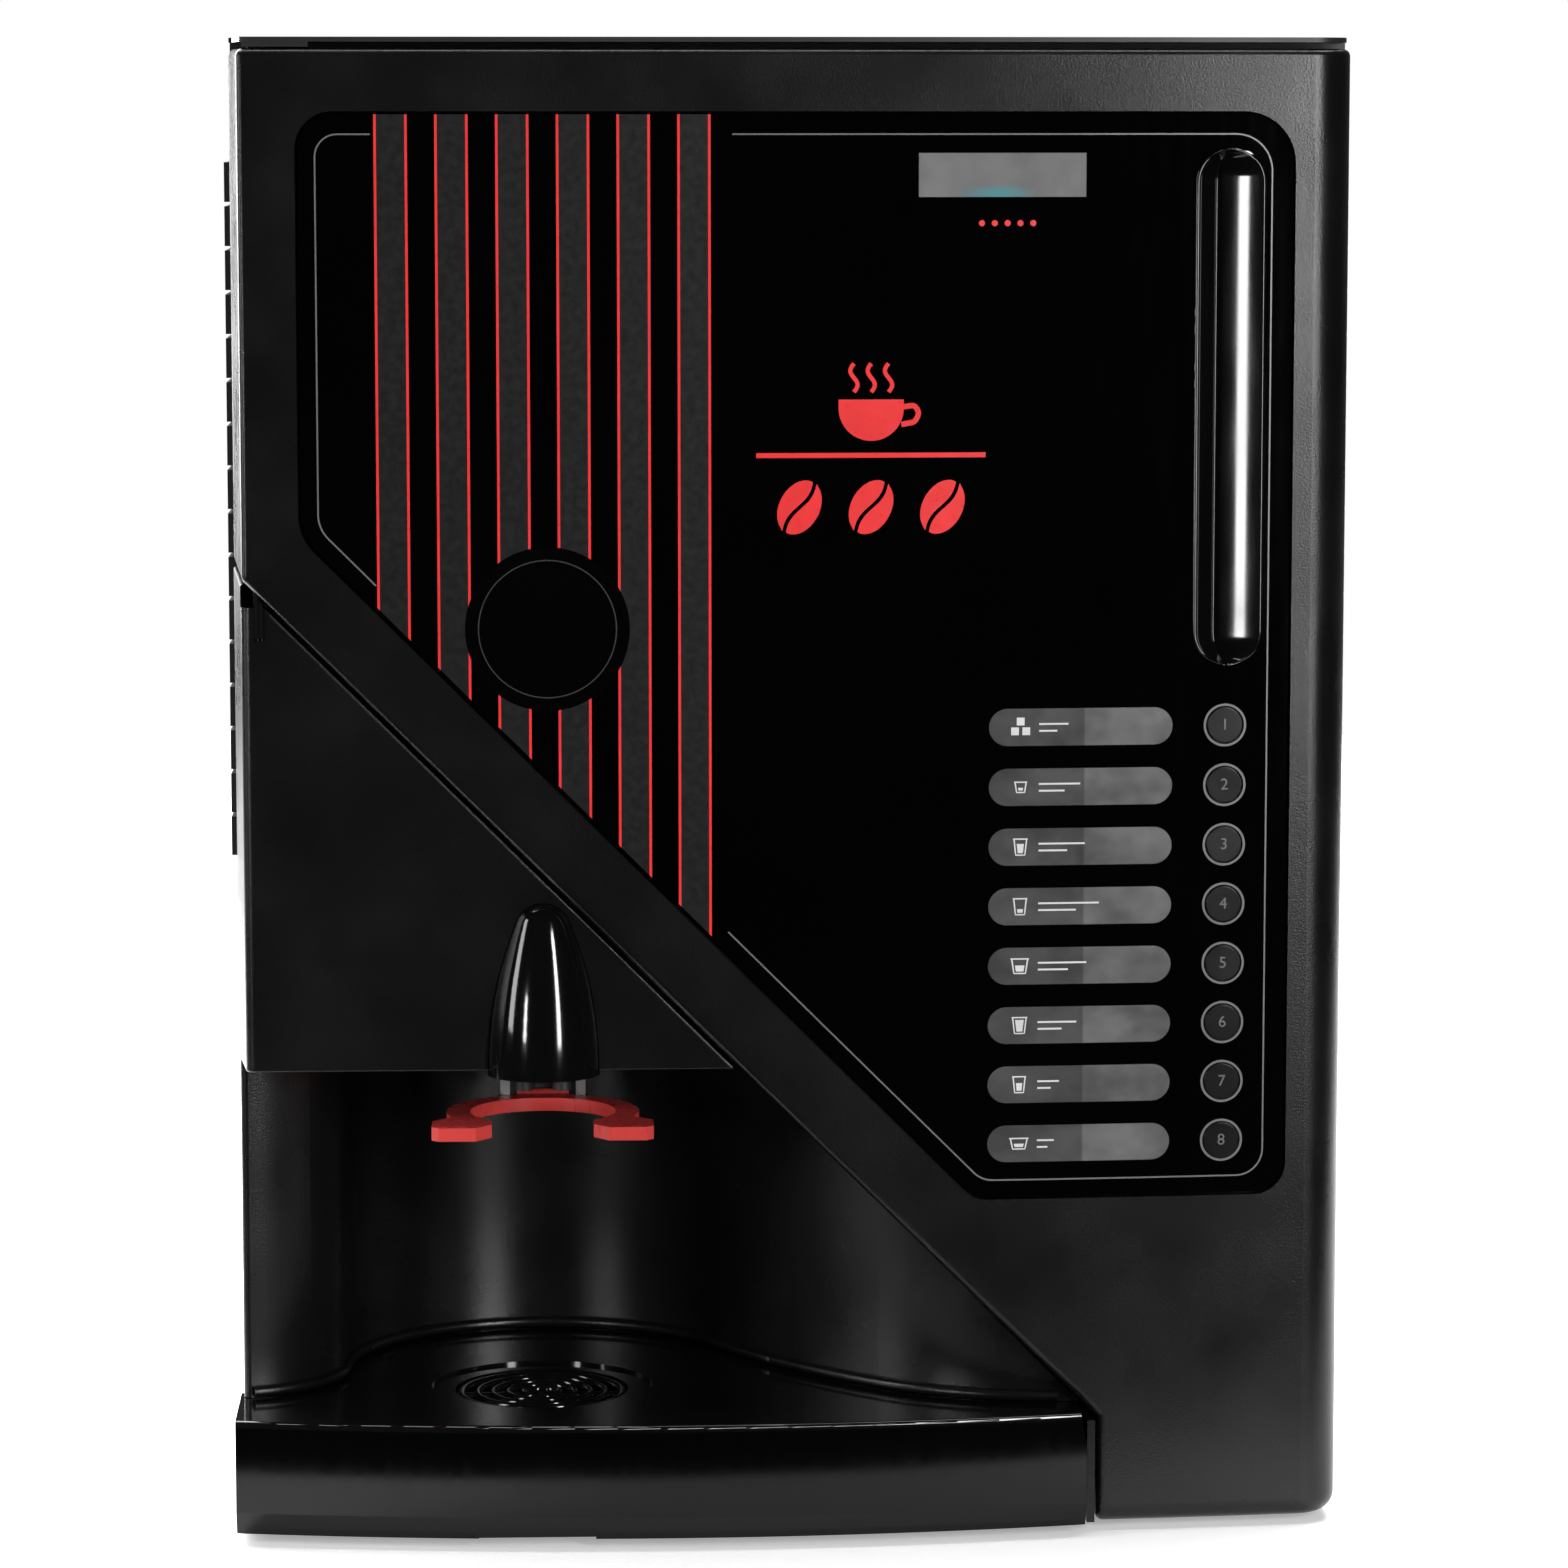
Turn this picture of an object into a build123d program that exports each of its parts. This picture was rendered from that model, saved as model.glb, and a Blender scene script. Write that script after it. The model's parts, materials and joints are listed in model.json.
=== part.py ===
"""Hot drinks vending machine: table-top cabinet, hinged door, cup niche, drip tray and dispensing works.

Millimetres, +Z up, front towards -Y, +X to the right of someone facing the machine.
The origin is the bottom centre of the bounding box.
"""

import math
import os

from build123d import *

# ---------------------------------------------------------------- driving dimensions
WIDTH = 463.0  # over the louvres
DEPTH = 490.0
HEIGHT = 615.0
FOOT_HEIGHT = 8.0
SHEET = 1.5  # steel sheet of the cabinet
SKIN = 3.0  # wall of the door moulding
GAP = 0.3  # play between a part and the opening it sits in

# cabinet planes
SIDE_X = 228.0  # outer face of the plain side sheet
LOUVRE_OUT = WIDTH / 2 - SIDE_X
CABINET_FRONT = -177.0
BACK_Y = 231.5  # outer face of the back panel
TOP_SHEET_Z = 612.6
TOP_BROW_INSET = 1.5  # how far the top sheet stops short of the door's front

# door
DOOR_FRONT = -224.0
DOOR_REAR = -180.0
DOOR_TOP = 610.0
DOOR_RIGHT = 227.5
DOOR_BOTTOM = 2.8
BEND_X = -20.0  # the front is flat to the left of this line and bent to its right
BEND_RADIUS = 2300.0
CORNER_R = 18.0  # upright corner at the door's right
EDGE_SUM = 174.0  # x + z along the slanted lower edge of the door
DOOR_FOOT_X = 125.7  # left edge of the door beside the drip tray
HINGE_X = -216.5
HINGE_Y = -217.0
HINGE_R = 2.5
RUNNING = 0.05  # radial play of a pin or shaft in its hole

# glossy front panel
PANEL_LEFT = -199.0
PANEL_RIGHT = 202.4
PANEL_TOP = 583.8
PANEL_BOTTOM = 141.7
PANEL_SUM = 216.0  # x + z along its slanted edge
PANEL_SINK = 0.4
BUTTONS = 8
BUTTON_X = 176.6
BUTTON_Z = 335.8
BUTTON_PITCH = 24.6
BUTTON_R = 7.4
PILL_X = (79.3, 155.0)
PILL_R = 7.75
DISPLAY = (50.0, 118.0, 550.6, 568.5)  # x from, x to, z from, z to
PULL_X = 177.2
PULL_R = 13.0
PULL_Z = (361.0, 569.5)

# hood, niche and nozzle
HOOD_FRONT = -218.5
HOOD_SKIN = 2.5
HOOD_SUM = EDGE_SUM - 2.5
HOOD_BOTTOM = 195.0
RELIEF_R = 9.0  # the hood's tip is cut away round the hinge so that the door's corner swings past it
RELIEF_Z = 385.5
NICHE_X = -103.0
NICHE_Y = -142.0
NICHE_R = 87.0
LINER = 2.5
CEILING_Z = 195.0
COVER_X = -102.5
COVER_R = 23.3
COVER_TALL = 70.6
COVER_TIP = 13.0
COVER_Y = -212.2
FLANGE_TOP = 245.0  # the cover's rear flange ends here, below the hood's slanted edge

# cup holder
BORE_X = -103.0
BORE_Y = -183.0
BORE_R = 30.25
HOLDER_TOP = 172.0
HOLDER_THICK = 5.5
HOLDER_PIN_Y = -138.0
HOLDER_PIN_Z = 169.0
HOLDER_PIN_R = 2.0

# drip tray
TRAY_LEFT = -229.5
TRAY_BOTTOM = 4.0
TRAY_RIGHT = 120.5
TRAY_APEX = -DEPTH / 2
TRAY_BOW = 1000.0
TRAY_TOP = 52.3
DECK = 2.8
TRAY_WALL = 2.5
TRAY_REAR = -50.0
GRILLE_X = -104.0
GRILLE_Y = -170.0
GRILLE_R = 36.0

# dispensing works
SHELF_Z = 335.0
WALL_Y = -60.0
CANISTERS = 4
CANISTER_X0 = -173.0
CANISTER_PITCH = 90.0
CANISTER_HALF = 42.0
CANISTER_WALL = 2.5
AUGER_Z = 357.0
AUGER_R = 16.0
AUGER_MOTOR_Y = 150.0
MIXERS = (-128.0, 52.0)
MIXER_Y = -106.0
MIXER_Z = 258.0
CHAMBER_R = 22.0
BULKHEAD_X = 148.0
FAN_X = 188.5
FAN_Z = 470.0
LOCK_Y = -150.0
LOCK_Z = 225.0
LOCK_R = 9.0
INLET_Z = 62.0
VALVE_X = (44.0, 80.0)
WATER_R = 13.2
PIVOT_R = 1.5


# ---------------------------------------------------------------- helpers
def block(x0, x1, y0, y1, z0, z1):
    """Box between opposite corners."""
    return Pos((x0 + x1) / 2, (y0 + y1) / 2, (z0 + z1) / 2) * Box(x1 - x0, y1 - y0, z1 - z0)


def rod_x(x0, x1, y, z, radius):
    return Pos((x0 + x1) / 2, y, z) * Rot(0, 90, 0) * Cylinder(radius, x1 - x0)


def rod_y(x, y0, y1, z, radius):
    return Pos(x, (y0 + y1) / 2, z) * Rot(90, 0, 0) * Cylinder(radius, y1 - y0)


def rod_z(x, y, z0, z1, radius):
    return Pos(x, y, (z0 + z1) / 2) * Cylinder(radius, z1 - z0)


def prism_y(outline, y0, y1):
    """Prism along Y from an outline of (x, z) points."""
    face = make_face(Polyline(*[(x, y0, z) for x, z in outline], close=True))
    return extrude(face, amount=y1 - y0, dir=(0, 1, 0))


def prism_z(outline, z0, z1):
    """Prism along Z from an outline of (x, y) points."""
    face = make_face(Polyline(*[(x, y, z0) for x, y in outline], close=True))
    return extrude(face, amount=z1 - z0, dir=(0, 0, 1))


def rounded_prism_y(outline, radii, y0, y1):
    """Prism along Y from (x, z) points with one radius for each corner."""
    points = [(x, y0, z) for x, z in outline]
    face = make_face(FilletPolyline(*points, radius=radii, close=True))
    return extrude(face, amount=y1 - y0, dir=(0, 1, 0))


def capsule_y(x0, x1, z, radius, y0, y1):
    """Upright-ended pill along X, extruded along Y."""
    body = block(x0 + radius, x1 - radius, y0, y1, z - radius, z + radius)
    return body + rod_y(x0 + radius, y0, y1, z, radius) + rod_y(x1 - radius, y0, y1, z, radius)


def tube_along(points, radii, outer, inner):
    """Hose or pipe of round section along straight runs joined by arcs."""
    path = FilletPolyline(*points, radius=radii)
    start = Plane(origin=path @ 0, z_dir=path % 0)
    ring = start * Circle(outer)
    if inner:
        ring = ring - start * Circle(inner)
    return sweep(ring, path=path)


def front_y(x, inset=0.0):
    """Y of the door's front surface, moved back by inset."""
    if x <= BEND_X:
        return DOOR_FRONT + inset
    radius = BEND_RADIUS - inset
    return DOOR_FRONT + BEND_RADIUS - math.sqrt(radius**2 - (x - BEND_X) ** 2)


def behind_front(inset):
    """Everything behind the door's front surface moved back by inset."""
    wide, rear, mid = 260.0, -100.0, 120.0
    start = (BEND_X, front_y(BEND_X, inset))
    end = (wide, front_y(wide, inset))
    edges = [
        Line((-wide, start[1]), start),
        ThreePointArc(start, (mid, front_y(mid, inset)), end),
        Line(end, (wide, rear)),
        Line((wide, rear), (-wide, rear)),
        Line((-wide, rear), (-wide, start[1])),
    ]
    return extrude(make_face(edges), amount=HEIGHT)


def front_layer(solid, outer, inner):
    """The part of a prism between two depths below the door's front surface."""
    return (solid & behind_front(outer)) - behind_front(inner)


def flank_x(y):
    """X of the drafted left flank shared by the door and the hood."""
    return -223.0 - (y - DOOR_FRONT) * 5.5 / (DOOR_REAR - DOOR_FRONT)


# ---------------------------------------------------------------- door
def door_plan(inset, rear):
    """Plan section of the door, moved inwards by inset."""
    front = DOOR_FRONT + inset
    right = DOOR_RIGHT - inset
    mid = 100.0
    corner_l = (flank_x(front) + inset, front)
    corner_r = (right, front_y(right, inset))
    edges = [
        Line(corner_l, (BEND_X, front)),
        ThreePointArc((BEND_X, front), (mid, front_y(mid, inset)), corner_r),
        Line(corner_r, (right, rear)),
        Line((right, rear), (flank_x(rear) + inset, rear)),
        Line((flank_x(rear) + inset, rear), corner_l),
    ]
    face = make_face(edges)
    left = face.vertices().sort_by_distance((corner_l[0], corner_l[1], 0))[0]
    face = fillet(left, max(2.5 - inset, 1.0))
    right_corner = face.vertices().sort_by_distance((corner_r[0], corner_r[1], 0))[0]
    return fillet(right_corner, CORNER_R - inset)


def door_outline(inset):
    """Front view outline of the door as (x, z) points."""
    slant = inset * math.sqrt(2)
    total = EDGE_SUM + slant
    foot_x = DOOR_FOOT_X + inset
    low = DOOR_BOTTOM + inset
    left = -240.0
    right = DOOR_RIGHT - inset
    return [
        (left, total - left),
        (foot_x, total - foot_x),
        (foot_x, low),
        (right, low),
        (right, DOOR_TOP - inset),
        (left, DOOR_TOP - inset),
    ]


def outline_edges(solid):
    """Edges round the front faces of a solid, without those between two front faces."""
    fronts = [face for face in solid.faces() if face.normal_at().Y < -0.9]
    edges = [edge for face in fronts for edge in face.edges()]
    return [edge for edge in edges if sum(edge.is_same(other) for other in edges) == 1]


def door_volume(inset, rear):
    slab = prism_y(door_outline(inset), DOOR_FRONT - 5, rear)
    return slab & extrude(door_plan(inset, rear), amount=HEIGHT)


def panel_prism(grow, y0=DOOR_FRONT - 5, y1=DOOR_REAR):
    """Prism with the outline of the glossy panel, grown outwards."""
    slant = PANEL_SUM - grow * math.sqrt(2)
    left, right = PANEL_LEFT - grow, PANEL_RIGHT + grow
    low, high = PANEL_BOTTOM - grow, PANEL_TOP + grow
    outline = [(left, high), (right, high), (right, low), (slant - low, low), (left, slant - left)]
    radii = [14 + grow, 20 + grow, 12 + grow, 12 + grow, 20 + grow]
    return rounded_prism_y(outline, radii, y0, y1)


def pull_slot(radius, y0, y1):
    low, high = PULL_Z
    middle = block(PULL_X - radius, PULL_X + radius, y0, y1, low + PULL_R, high - PULL_R)
    ends = rod_y(PULL_X, y0, y1, low + PULL_R, radius) + rod_y(PULL_X, y0, y1, high - PULL_R, radius)
    return middle + ends


def button_height(index):
    return BUTTON_Z - BUTTON_PITCH * index


def door_frame():
    """Front moulding of the door, open at the back and round the glossy panel."""
    outer = door_volume(0, DOOR_REAR)
    corners = outer.edges().filter_by(Axis.Y).sort_by(Axis.X)[-2:].sort_by(Axis.Z)
    outer = fillet(corners[0], 8.0)
    outer = fillet(outline_edges(outer), 3.0)
    hollow = door_volume(SKIN, DOOR_REAR + 1)
    shell = outer - hollow
    corner = block(-230, HINGE_X + 9, DOOR_FRONT, HINGE_Y + 9, 594, DOOR_TOP)
    lower = block(-230, HINGE_X + 9, DOOR_FRONT, HINGE_Y + 9, 380, 408)
    shell = shell + (outer & corner) + (outer & lower)
    shell = shell - panel_prism(1.2)
    shell = shell - rod_z(HINGE_X, HINGE_Y, 380, 404, HINGE_R + RUNNING)
    shell = shell - rod_z(HINGE_X, HINGE_Y, 596, 612, HINGE_R + RUNNING)
    for y in (-214.0, -206.0, -198.0, -190.0):
        shell = shell - block(flank_x(y) - 3, flank_x(y) + 0.7, y, y + 1.4, 330, DOOR_TOP + 1)
    return shell


def front_panel():
    plate = front_layer(panel_prism(0), PANEL_SINK, 3.4)
    flange = front_layer(panel_prism(7) - panel_prism(-4), 3.2, 5.2)
    panel = plate + flange
    x0, x1, z0, z1 = DISPLAY
    panel = panel - block(x0, x1, DOOR_FRONT - 5, DOOR_REAR, z0, z1)
    panel = panel - pull_slot(PULL_R + 1.5, DOOR_FRONT - 5, DOOR_REAR)
    for i in range(BUTTONS):
        z = button_height(i)
        panel = panel - button_frame(z) * rod_y(0, -5, 10, 0, BUTTON_R + GAP)
        panel = panel - capsule_y(*PILL_X, z, PILL_R, DOOR_FRONT - 5, DOOR_REAR)
    return panel


def label_windows():
    """One pill-shaped window for each button's label."""
    windows = []
    for i in range(BUTTONS):
        z = button_height(i)
        pill = capsule_y(PILL_X[0] + 0.15, PILL_X[1] - 0.15, z, PILL_R - 0.15, -230, DOOR_REAR)
        windows.append(front_layer(pill, PANEL_SINK + 0.2, 5.2))
    return Compound(children=windows)


def button_frame(z):
    """Place on the bent panel at a button, with local -Y square to the surface."""
    tilt = math.degrees(math.asin((BUTTON_X - BEND_X) / BEND_RADIUS))
    return Pos(BUTTON_X, front_y(BUTTON_X), z) * Rot(0, 0, tilt)


def button(index):
    """Round push button with a stem flange that stops it falling out."""
    cap = fillet(rod_y(0, 0.1, 6.4, 0, BUTTON_R).edges().sort_by(Axis.Y)[0], 0.4)
    flange = rod_y(0, 4.2, 5.6, 0, BUTTON_R + 1.4)
    stem = rod_y(0, 6.4, 9.5, 0, 2.0)
    return button_frame(button_height(index)) * (cap + flange + stem)


def button_board():
    """Circuit board behind the buttons with one switch for each."""
    half = (BUTTONS - 1) * BUTTON_PITCH / 2
    board = block(-14, 14, 14, 15.6, -half - 14, half + 14)
    for i in range(BUTTONS):
        z = half - BUTTON_PITCH * i
        board = board + block(-3, 3, 10.8, 14, z - 3, z + 3)
    for z in (-half - 10, half + 10):
        board = board + rod_y(-8, 3.6, 14, z, 2.5)
    return button_frame(BUTTON_Z - half) * board


def display_lens():
    x0, x1, z0, z1 = DISPLAY
    pane = block(x0 + 0.15, x1 - 0.15, -230, DOOR_REAR, z0 + 0.15, z1 - 0.15)
    return front_layer(pane, PANEL_SINK + 0.3, 3.6)


def display_module():
    x0, x1, z0, z1 = DISPLAY
    y = front_y(x1) + 6.2
    glass = block(x0 - 3, x1 + 3, y, y + 5, z0 - 4, z1 + 4)
    board = block(x0 - 7, x1 + 7, y + 5, y + 6.6, z0 - 10, z1 + 10)
    header = block(x0, x0 + 40, y + 6.6, y + 9.4, z0 - 9, z0 - 5)
    return glass + board + header


def pull_section(grow):
    """Plan of the trough: a steep left wall, a rounded bottom and a long slanted right wall."""
    corners = [(-PULL_R, -6), (-PULL_R, 0.6), (-9.5, 11), (-5.5, 12.6), (PULL_R, 1.0), (PULL_R, -6)]
    points = [(PULL_X + x, front_y(PULL_X + x) + depth) for x, depth in corners]
    face = make_face(Polyline(*points, close=True))
    deep = face.vertices().filter_by_position(Axis.Y, points[0][1] + 3, points[3][1] + 1)
    face = fillet(deep, 1.9)
    return offset(face, amount=grow) if grow else face


def finger_pull():
    """Upright trough that the hand pulls the door by."""
    low, high = PULL_Z
    wall = 1.3
    outer = extrude(Pos(0, 0, low - wall) * pull_section(wall), amount=high - low + 2 * wall)
    outer = outer & pull_slot(PULL_R + wall, -240, DOOR_REAR)
    inner = extrude(Pos(0, 0, low) * pull_section(0), amount=high - low)
    inner = inner & pull_slot(PULL_R, -240, DOOR_REAR)
    return (outer & behind_front(PANEL_SINK - 0.2)) - inner


def lock_cylinder():
    """Fixed barrel of the door lock, in the right side panel."""
    inner = SIDE_X - SHEET
    barrel = rod_x(204, SIDE_X, LOCK_Y, LOCK_Z, LOCK_R)
    head = rod_x(SIDE_X, SIDE_X + 1.3, LOCK_Y, LOCK_Z, LOCK_R + 2)
    nut = rod_x(inner - 4, inner, LOCK_Y, LOCK_Z, LOCK_R + 4)
    return barrel + head + nut - rod_x(203, 231, LOCK_Y, LOCK_Z, 5.5 + RUNNING)


def lock_cam():
    """Key plug with its locking cam, shown unlocked with the cam upright."""
    face = SIDE_X + 1.5
    plug = rod_x(202, face, LOCK_Y, LOCK_Z, 5.5)
    plug = plug - block(face - 1.5, face + 1, LOCK_Y - 0.7, LOCK_Y + 0.7, LOCK_Z - 3.5, LOCK_Z + 3.5)
    cam = block(200, 202.8, LOCK_Y - 6, LOCK_Y + 6, LOCK_Z, LOCK_Z + 22)
    tip = rod_x(200, 202.8, LOCK_Y, LOCK_Z + 22, 6)
    root = rod_x(200, 202.8, LOCK_Y, LOCK_Z, 8)
    return plug + cam + tip + root


# ---------------------------------------------------------------- hood and niche
def hood_outline(inset):
    total = HOOD_SUM - inset * math.sqrt(2)
    left = -240.0
    return [(left, HOOD_BOTTOM), (total - HOOD_BOTTOM, HOOD_BOTTOM), (left, total - left)]


def hood_volume(inset, rear):
    slab = prism_y(hood_outline(inset), HOOD_FRONT - 10, rear)
    front = HOOD_FRONT + inset
    plan = [(flank_x(front) + inset, front), (0, front), (0, rear), (flank_x(rear) + inset, rear)]
    return slab & prism_z(plan, 0, HEIGHT)


def bullet_section(grow):
    """Half section of the nozzle cover: a long side arc that runs into a round tip."""
    radius, tall, tip = COVER_R + grow, COVER_TALL + grow, COVER_TIP + grow
    rise = tall - tip
    side = (radius**2 + rise**2 - tip**2) / (2 * (radius - tip))
    centre = radius - side
    turn = math.atan2(rise, -centre)
    joint = (centre + side * math.cos(turn), side * math.sin(turn))
    on_side = (centre + side * math.cos(turn / 2), side * math.sin(turn / 2))
    on_tip = (tip * math.sin(math.radians(30)), rise + tip * math.cos(math.radians(30)))
    outline = [
        Line((radius, -2), (radius, 0)),
        ThreePointArc((radius, 0), on_side, joint),
        ThreePointArc(joint, on_tip, (0, tall)),
        Line((0, tall), (0, -2)),
        Line((0, -2), (radius, -2)),
    ]
    return Plane.XZ * make_face(outline)


def cover_body(section, y0, y1, z0=HOOD_BOTTOM - 2, z1=300):
    """Body of revolution of the nozzle cover, cut out between two upright planes and two levels."""
    bullet = Pos(COVER_X, COVER_Y, HOOD_BOTTOM) * revolve(section, axis=Axis.Z)
    return bullet & block(-140, -60, y0, y1, z0, z1)


def hood():
    """Triangular cover over the niche, with the socket of the lower hinge pin."""
    outer = hood_volume(0, CABINET_FRONT)
    edge = outer.edges().filter_by(Axis.Z).sort_by(Axis.Y)[0:1]
    outer = fillet(edge, 4.0)
    outer = fillet(outline_edges(outer), 1.0)
    shell = outer - hood_volume(HOOD_SKIN, CABINET_FRONT + 1)
    boss = outer & block(-230, HINGE_X + 8, HOOD_FRONT, HINGE_Y + 9, 368, 400)
    shell = shell + boss - cover_body(bullet_section(GAP), -240, -200)
    shell = shell - rod_z(HINGE_X, HINGE_Y, RELIEF_Z, 400, RELIEF_R)
    return shell - rod_z(HINGE_X, HINGE_Y, 372, 400, HINGE_R + 0.02)


def nozzle_cover():
    rear = HOOD_FRONT + HOOD_SKIN
    seat = CEILING_Z + LINER + 0.2
    nose = cover_body(bullet_section(0) - bullet_section(-2), -240, rear)
    neck = cover_body(bullet_section(0) - bullet_section(-2), rear, rear + 2.2, seat, FLANGE_TOP)
    flange = cover_body(bullet_section(1.5) - bullet_section(-2), rear + 0.2, rear + 2.2, seat, FLANGE_TOP)
    return nose + neck + flange


def niche_path():
    """Plan line of the niche wall: left column, round back, flare to the right."""
    start_angle = math.radians(30)
    back_end = (NICHE_X + NICHE_R * math.cos(start_angle), NICHE_Y + NICHE_R * math.sin(start_angle))
    back_start = (NICHE_X - NICHE_R, NICHE_Y)
    column = (-202.0, -172.0)
    corner = (-225.5, -186.0)
    flare_mid, flare_end = (39.0, -179.0), (121.0, -206.0)
    back = ThreePointArc(back_start, (NICHE_X, NICHE_Y + NICHE_R), back_end)
    near = TangentArc(back_start, column, tangent=(0, -1))
    far = TangentArc(column, corner, tangent=near % 1)
    flank = Line(corner, (corner[0], CABINET_FRONT))
    flare = TangentArc(back_end, flare_mid, tangent=back % 1)
    lip = TangentArc(flare_mid, flare_end, tangent=flare % 1)
    return flank, far, near, back, flare, lip


def beyond_slant(total):
    """Space in front of the cabinet on the door's side of the slanted line x + z = total."""
    return prism_y([(total - 400, 400), (total, 0), (300, 0), (300, 400)], -240, CABINET_FRONT)


def niche_liner():
    """Curved wall and ceiling of the cup niche."""
    path = Wire(niche_path())
    wall_face = make_face(path.offset_2d(LINER, side=Side.LEFT))
    wall = Pos(0, 0, TRAY_TOP + 0.3) * extrude(wall_face, amount=CEILING_Z - TRAY_TOP - 0.3)
    start, end = path @ 0, path @ 1
    front = HOOD_FRONT + HOOD_SKIN
    corners = [(end.X, front), (start.X + 4, front), (start.X + 4, start.Y)]
    closing = Polyline((end.X, end.Y), *corners, (start.X, start.Y))
    roof_face = make_face([*path.edges(), *closing.edges()])
    roof = Pos(0, 0, CEILING_Z) * extrude(roof_face, amount=LINER)
    roof_sum = HOOD_SUM - HOOD_SKIN * math.sqrt(2) - GAP
    roof = roof - beyond_slant(roof_sum)
    whole = wall - beyond_slant(HOOD_SUM) + roof
    inside_flank = [(flank_x(y) + 3, y) for y in (-240, CABINET_FRONT)]
    beyond_flank = prism_z([(-240, -240), *inside_flank, (-240, CABINET_FRONT)], CEILING_Z - 1, 300)
    whole = whole - beyond_flank
    return whole - block(-119, -87, -193, -166, 190, 200)


def nozzle_block():
    """Manifold above the niche with the drink spouts."""
    body = block(-122, -84, -197, -160, CEILING_Z + LINER, CEILING_Z + LINER + 15)
    body = fillet(body.edges().filter_by(Axis.Z), 5)
    for x, y in ((-111, -183), (-95, -183), (-103, -174)):
        body = body + rod_z(x, y, 181, CEILING_Z + LINER + 1, 4.0)
        body = body - rod_z(x, y, 179, CEILING_Z + LINER + 6, 2.5)
    return body


def cup_bracket():
    """Steel bracket under the niche ceiling that carries the cup holder's pin."""
    bracket = block(-122, -84, -147, -130, CEILING_Z - 2.5, CEILING_Z)
    for x in (-121.0, -89.0):
        bracket = bracket + block(x, x + 4, -143, -133, 164, CEILING_Z - 2.5)
    return bracket - rod_x(-125, -80, HOLDER_PIN_Y, HOLDER_PIN_Z, HOLDER_PIN_R + 0.02)


def cup_holder():
    """Fork that steadies a cup under the spouts, hinged at its back."""
    z0 = HOLDER_TOP - HOLDER_THICK
    front = -222.0
    half_mouth, half_wide = 21.0, 45.5
    ring = rod_z(BORE_X, BORE_Y, z0, HOLDER_TOP, 40.0)
    wings = [
        (BORE_X - half_wide, front + 3),
        (BORE_X - half_wide + 3, front),
        (BORE_X + half_wide - 3, front),
        (BORE_X + half_wide, front + 3),
        (BORE_X + half_wide, front + 17),
        (BORE_X + 36, BORE_Y - 12),
        (BORE_X - 36, BORE_Y - 12),
        (BORE_X - half_wide, front + 17),
    ]
    mouth = [
        (BORE_X - half_mouth - 7, front - 1),
        (BORE_X + half_mouth + 7, front - 1),
        (BORE_X + half_mouth, front + 8),
        (BORE_X + half_mouth, BORE_Y),
        (BORE_X - half_mouth, BORE_Y),
        (BORE_X - half_mouth, front + 8),
    ]
    plate = ring + prism_z(wings, z0, HOLDER_TOP)
    plate = plate - prism_z(mouth, z0 - 1, HOLDER_TOP + 1)
    plate = plate - rod_z(BORE_X, BORE_Y, z0 - 1, HOLDER_TOP + 1, BORE_R)
    lug = block(BORE_X - 11, BORE_X + 11, -148, HOLDER_PIN_Y, z0, HOLDER_TOP)
    knuckle = rod_x(BORE_X - 11, BORE_X + 11, HOLDER_PIN_Y, HOLDER_PIN_Z, 4.5)
    return plate + lug + knuckle - rod_x(-130, -70, HOLDER_PIN_Y, HOLDER_PIN_Z, HOLDER_PIN_R + RUNNING)


def cup_sensors():
    """Light sender and receiver that see a cup in the niche."""
    eyes = []
    for x in (-156.0, -56.0):
        body = block(x - 6, x + 6, -170, -158, CEILING_Z - 8, CEILING_Z)
        eyes.append(body + rod_y(x, -172.5, -170, CEILING_Z - 4, 2.6))
    return Compound(children=eyes)


# ---------------------------------------------------------------- drip tray
def tray_plan(inset, rear):
    """Plan of the tray: bowed front, wide fascia, narrower tub behind it."""
    middle = (TRAY_LEFT + TRAY_RIGHT) / 2
    left, right = TRAY_LEFT + inset, TRAY_RIGHT - inset
    apex = TRAY_APEX + inset
    radius = TRAY_BOW - inset
    half = (right - left) / 2
    side_y = apex + radius - math.sqrt(radius**2 - half**2)
    step_y = CABINET_FRONT - 2 - inset
    edges = [
        ThreePointArc((left, side_y), (middle, apex), (right, side_y)),
        *Polyline(
            (right, side_y),
            (right, step_y),
            (right - 3, step_y),
            (right - 3, rear - inset),
            (left + 7.5, rear - inset),
            (left + 7.5, step_y),
            (left, step_y),
            (left, side_y),
        ).edges(),
    ]
    return make_face(edges)


def tray_draft():
    """What the slanted right end of the tray leaves free beside the foot of the door."""
    x, z = TRAY_RIGHT, TRAY_TOP
    outline = [(x, z - 14), (x - 2.4, z), (x - 2.4, z + 5), (x + 5, z + 5), (x + 5, z - 14)]
    return prism_y(outline, -260, 0)


def drip_tray():
    """Tub with the tray's bowed front."""
    top = TRAY_TOP - DECK
    tub = Pos(0, 0, TRAY_BOTTOM) * extrude(tray_plan(0, TRAY_REAR), amount=top - TRAY_BOTTOM)
    low_edge = tub.edges().filter_by(GeomType.CIRCLE).sort_by(Axis.Z)[0]
    tub = chamfer(low_edge, length=10, length2=5, reference=tub.faces().sort_by(Axis.Y)[0])
    tub = tub - block(-230, 130, CABINET_FRONT - 2, 0, 0, 10.2)
    hollow = Pos(0, 0, 13.0) * extrude(tray_plan(TRAY_WALL, TRAY_REAR), amount=60)
    tub = tub - (hollow & block(-230, TRAY_RIGHT - 5, TRAY_APEX + 8, 0, 0, 60)) - tray_draft()
    return tub - block(-130, -82, -250, -236, 0, TRAY_BOTTOM + 5)


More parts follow.
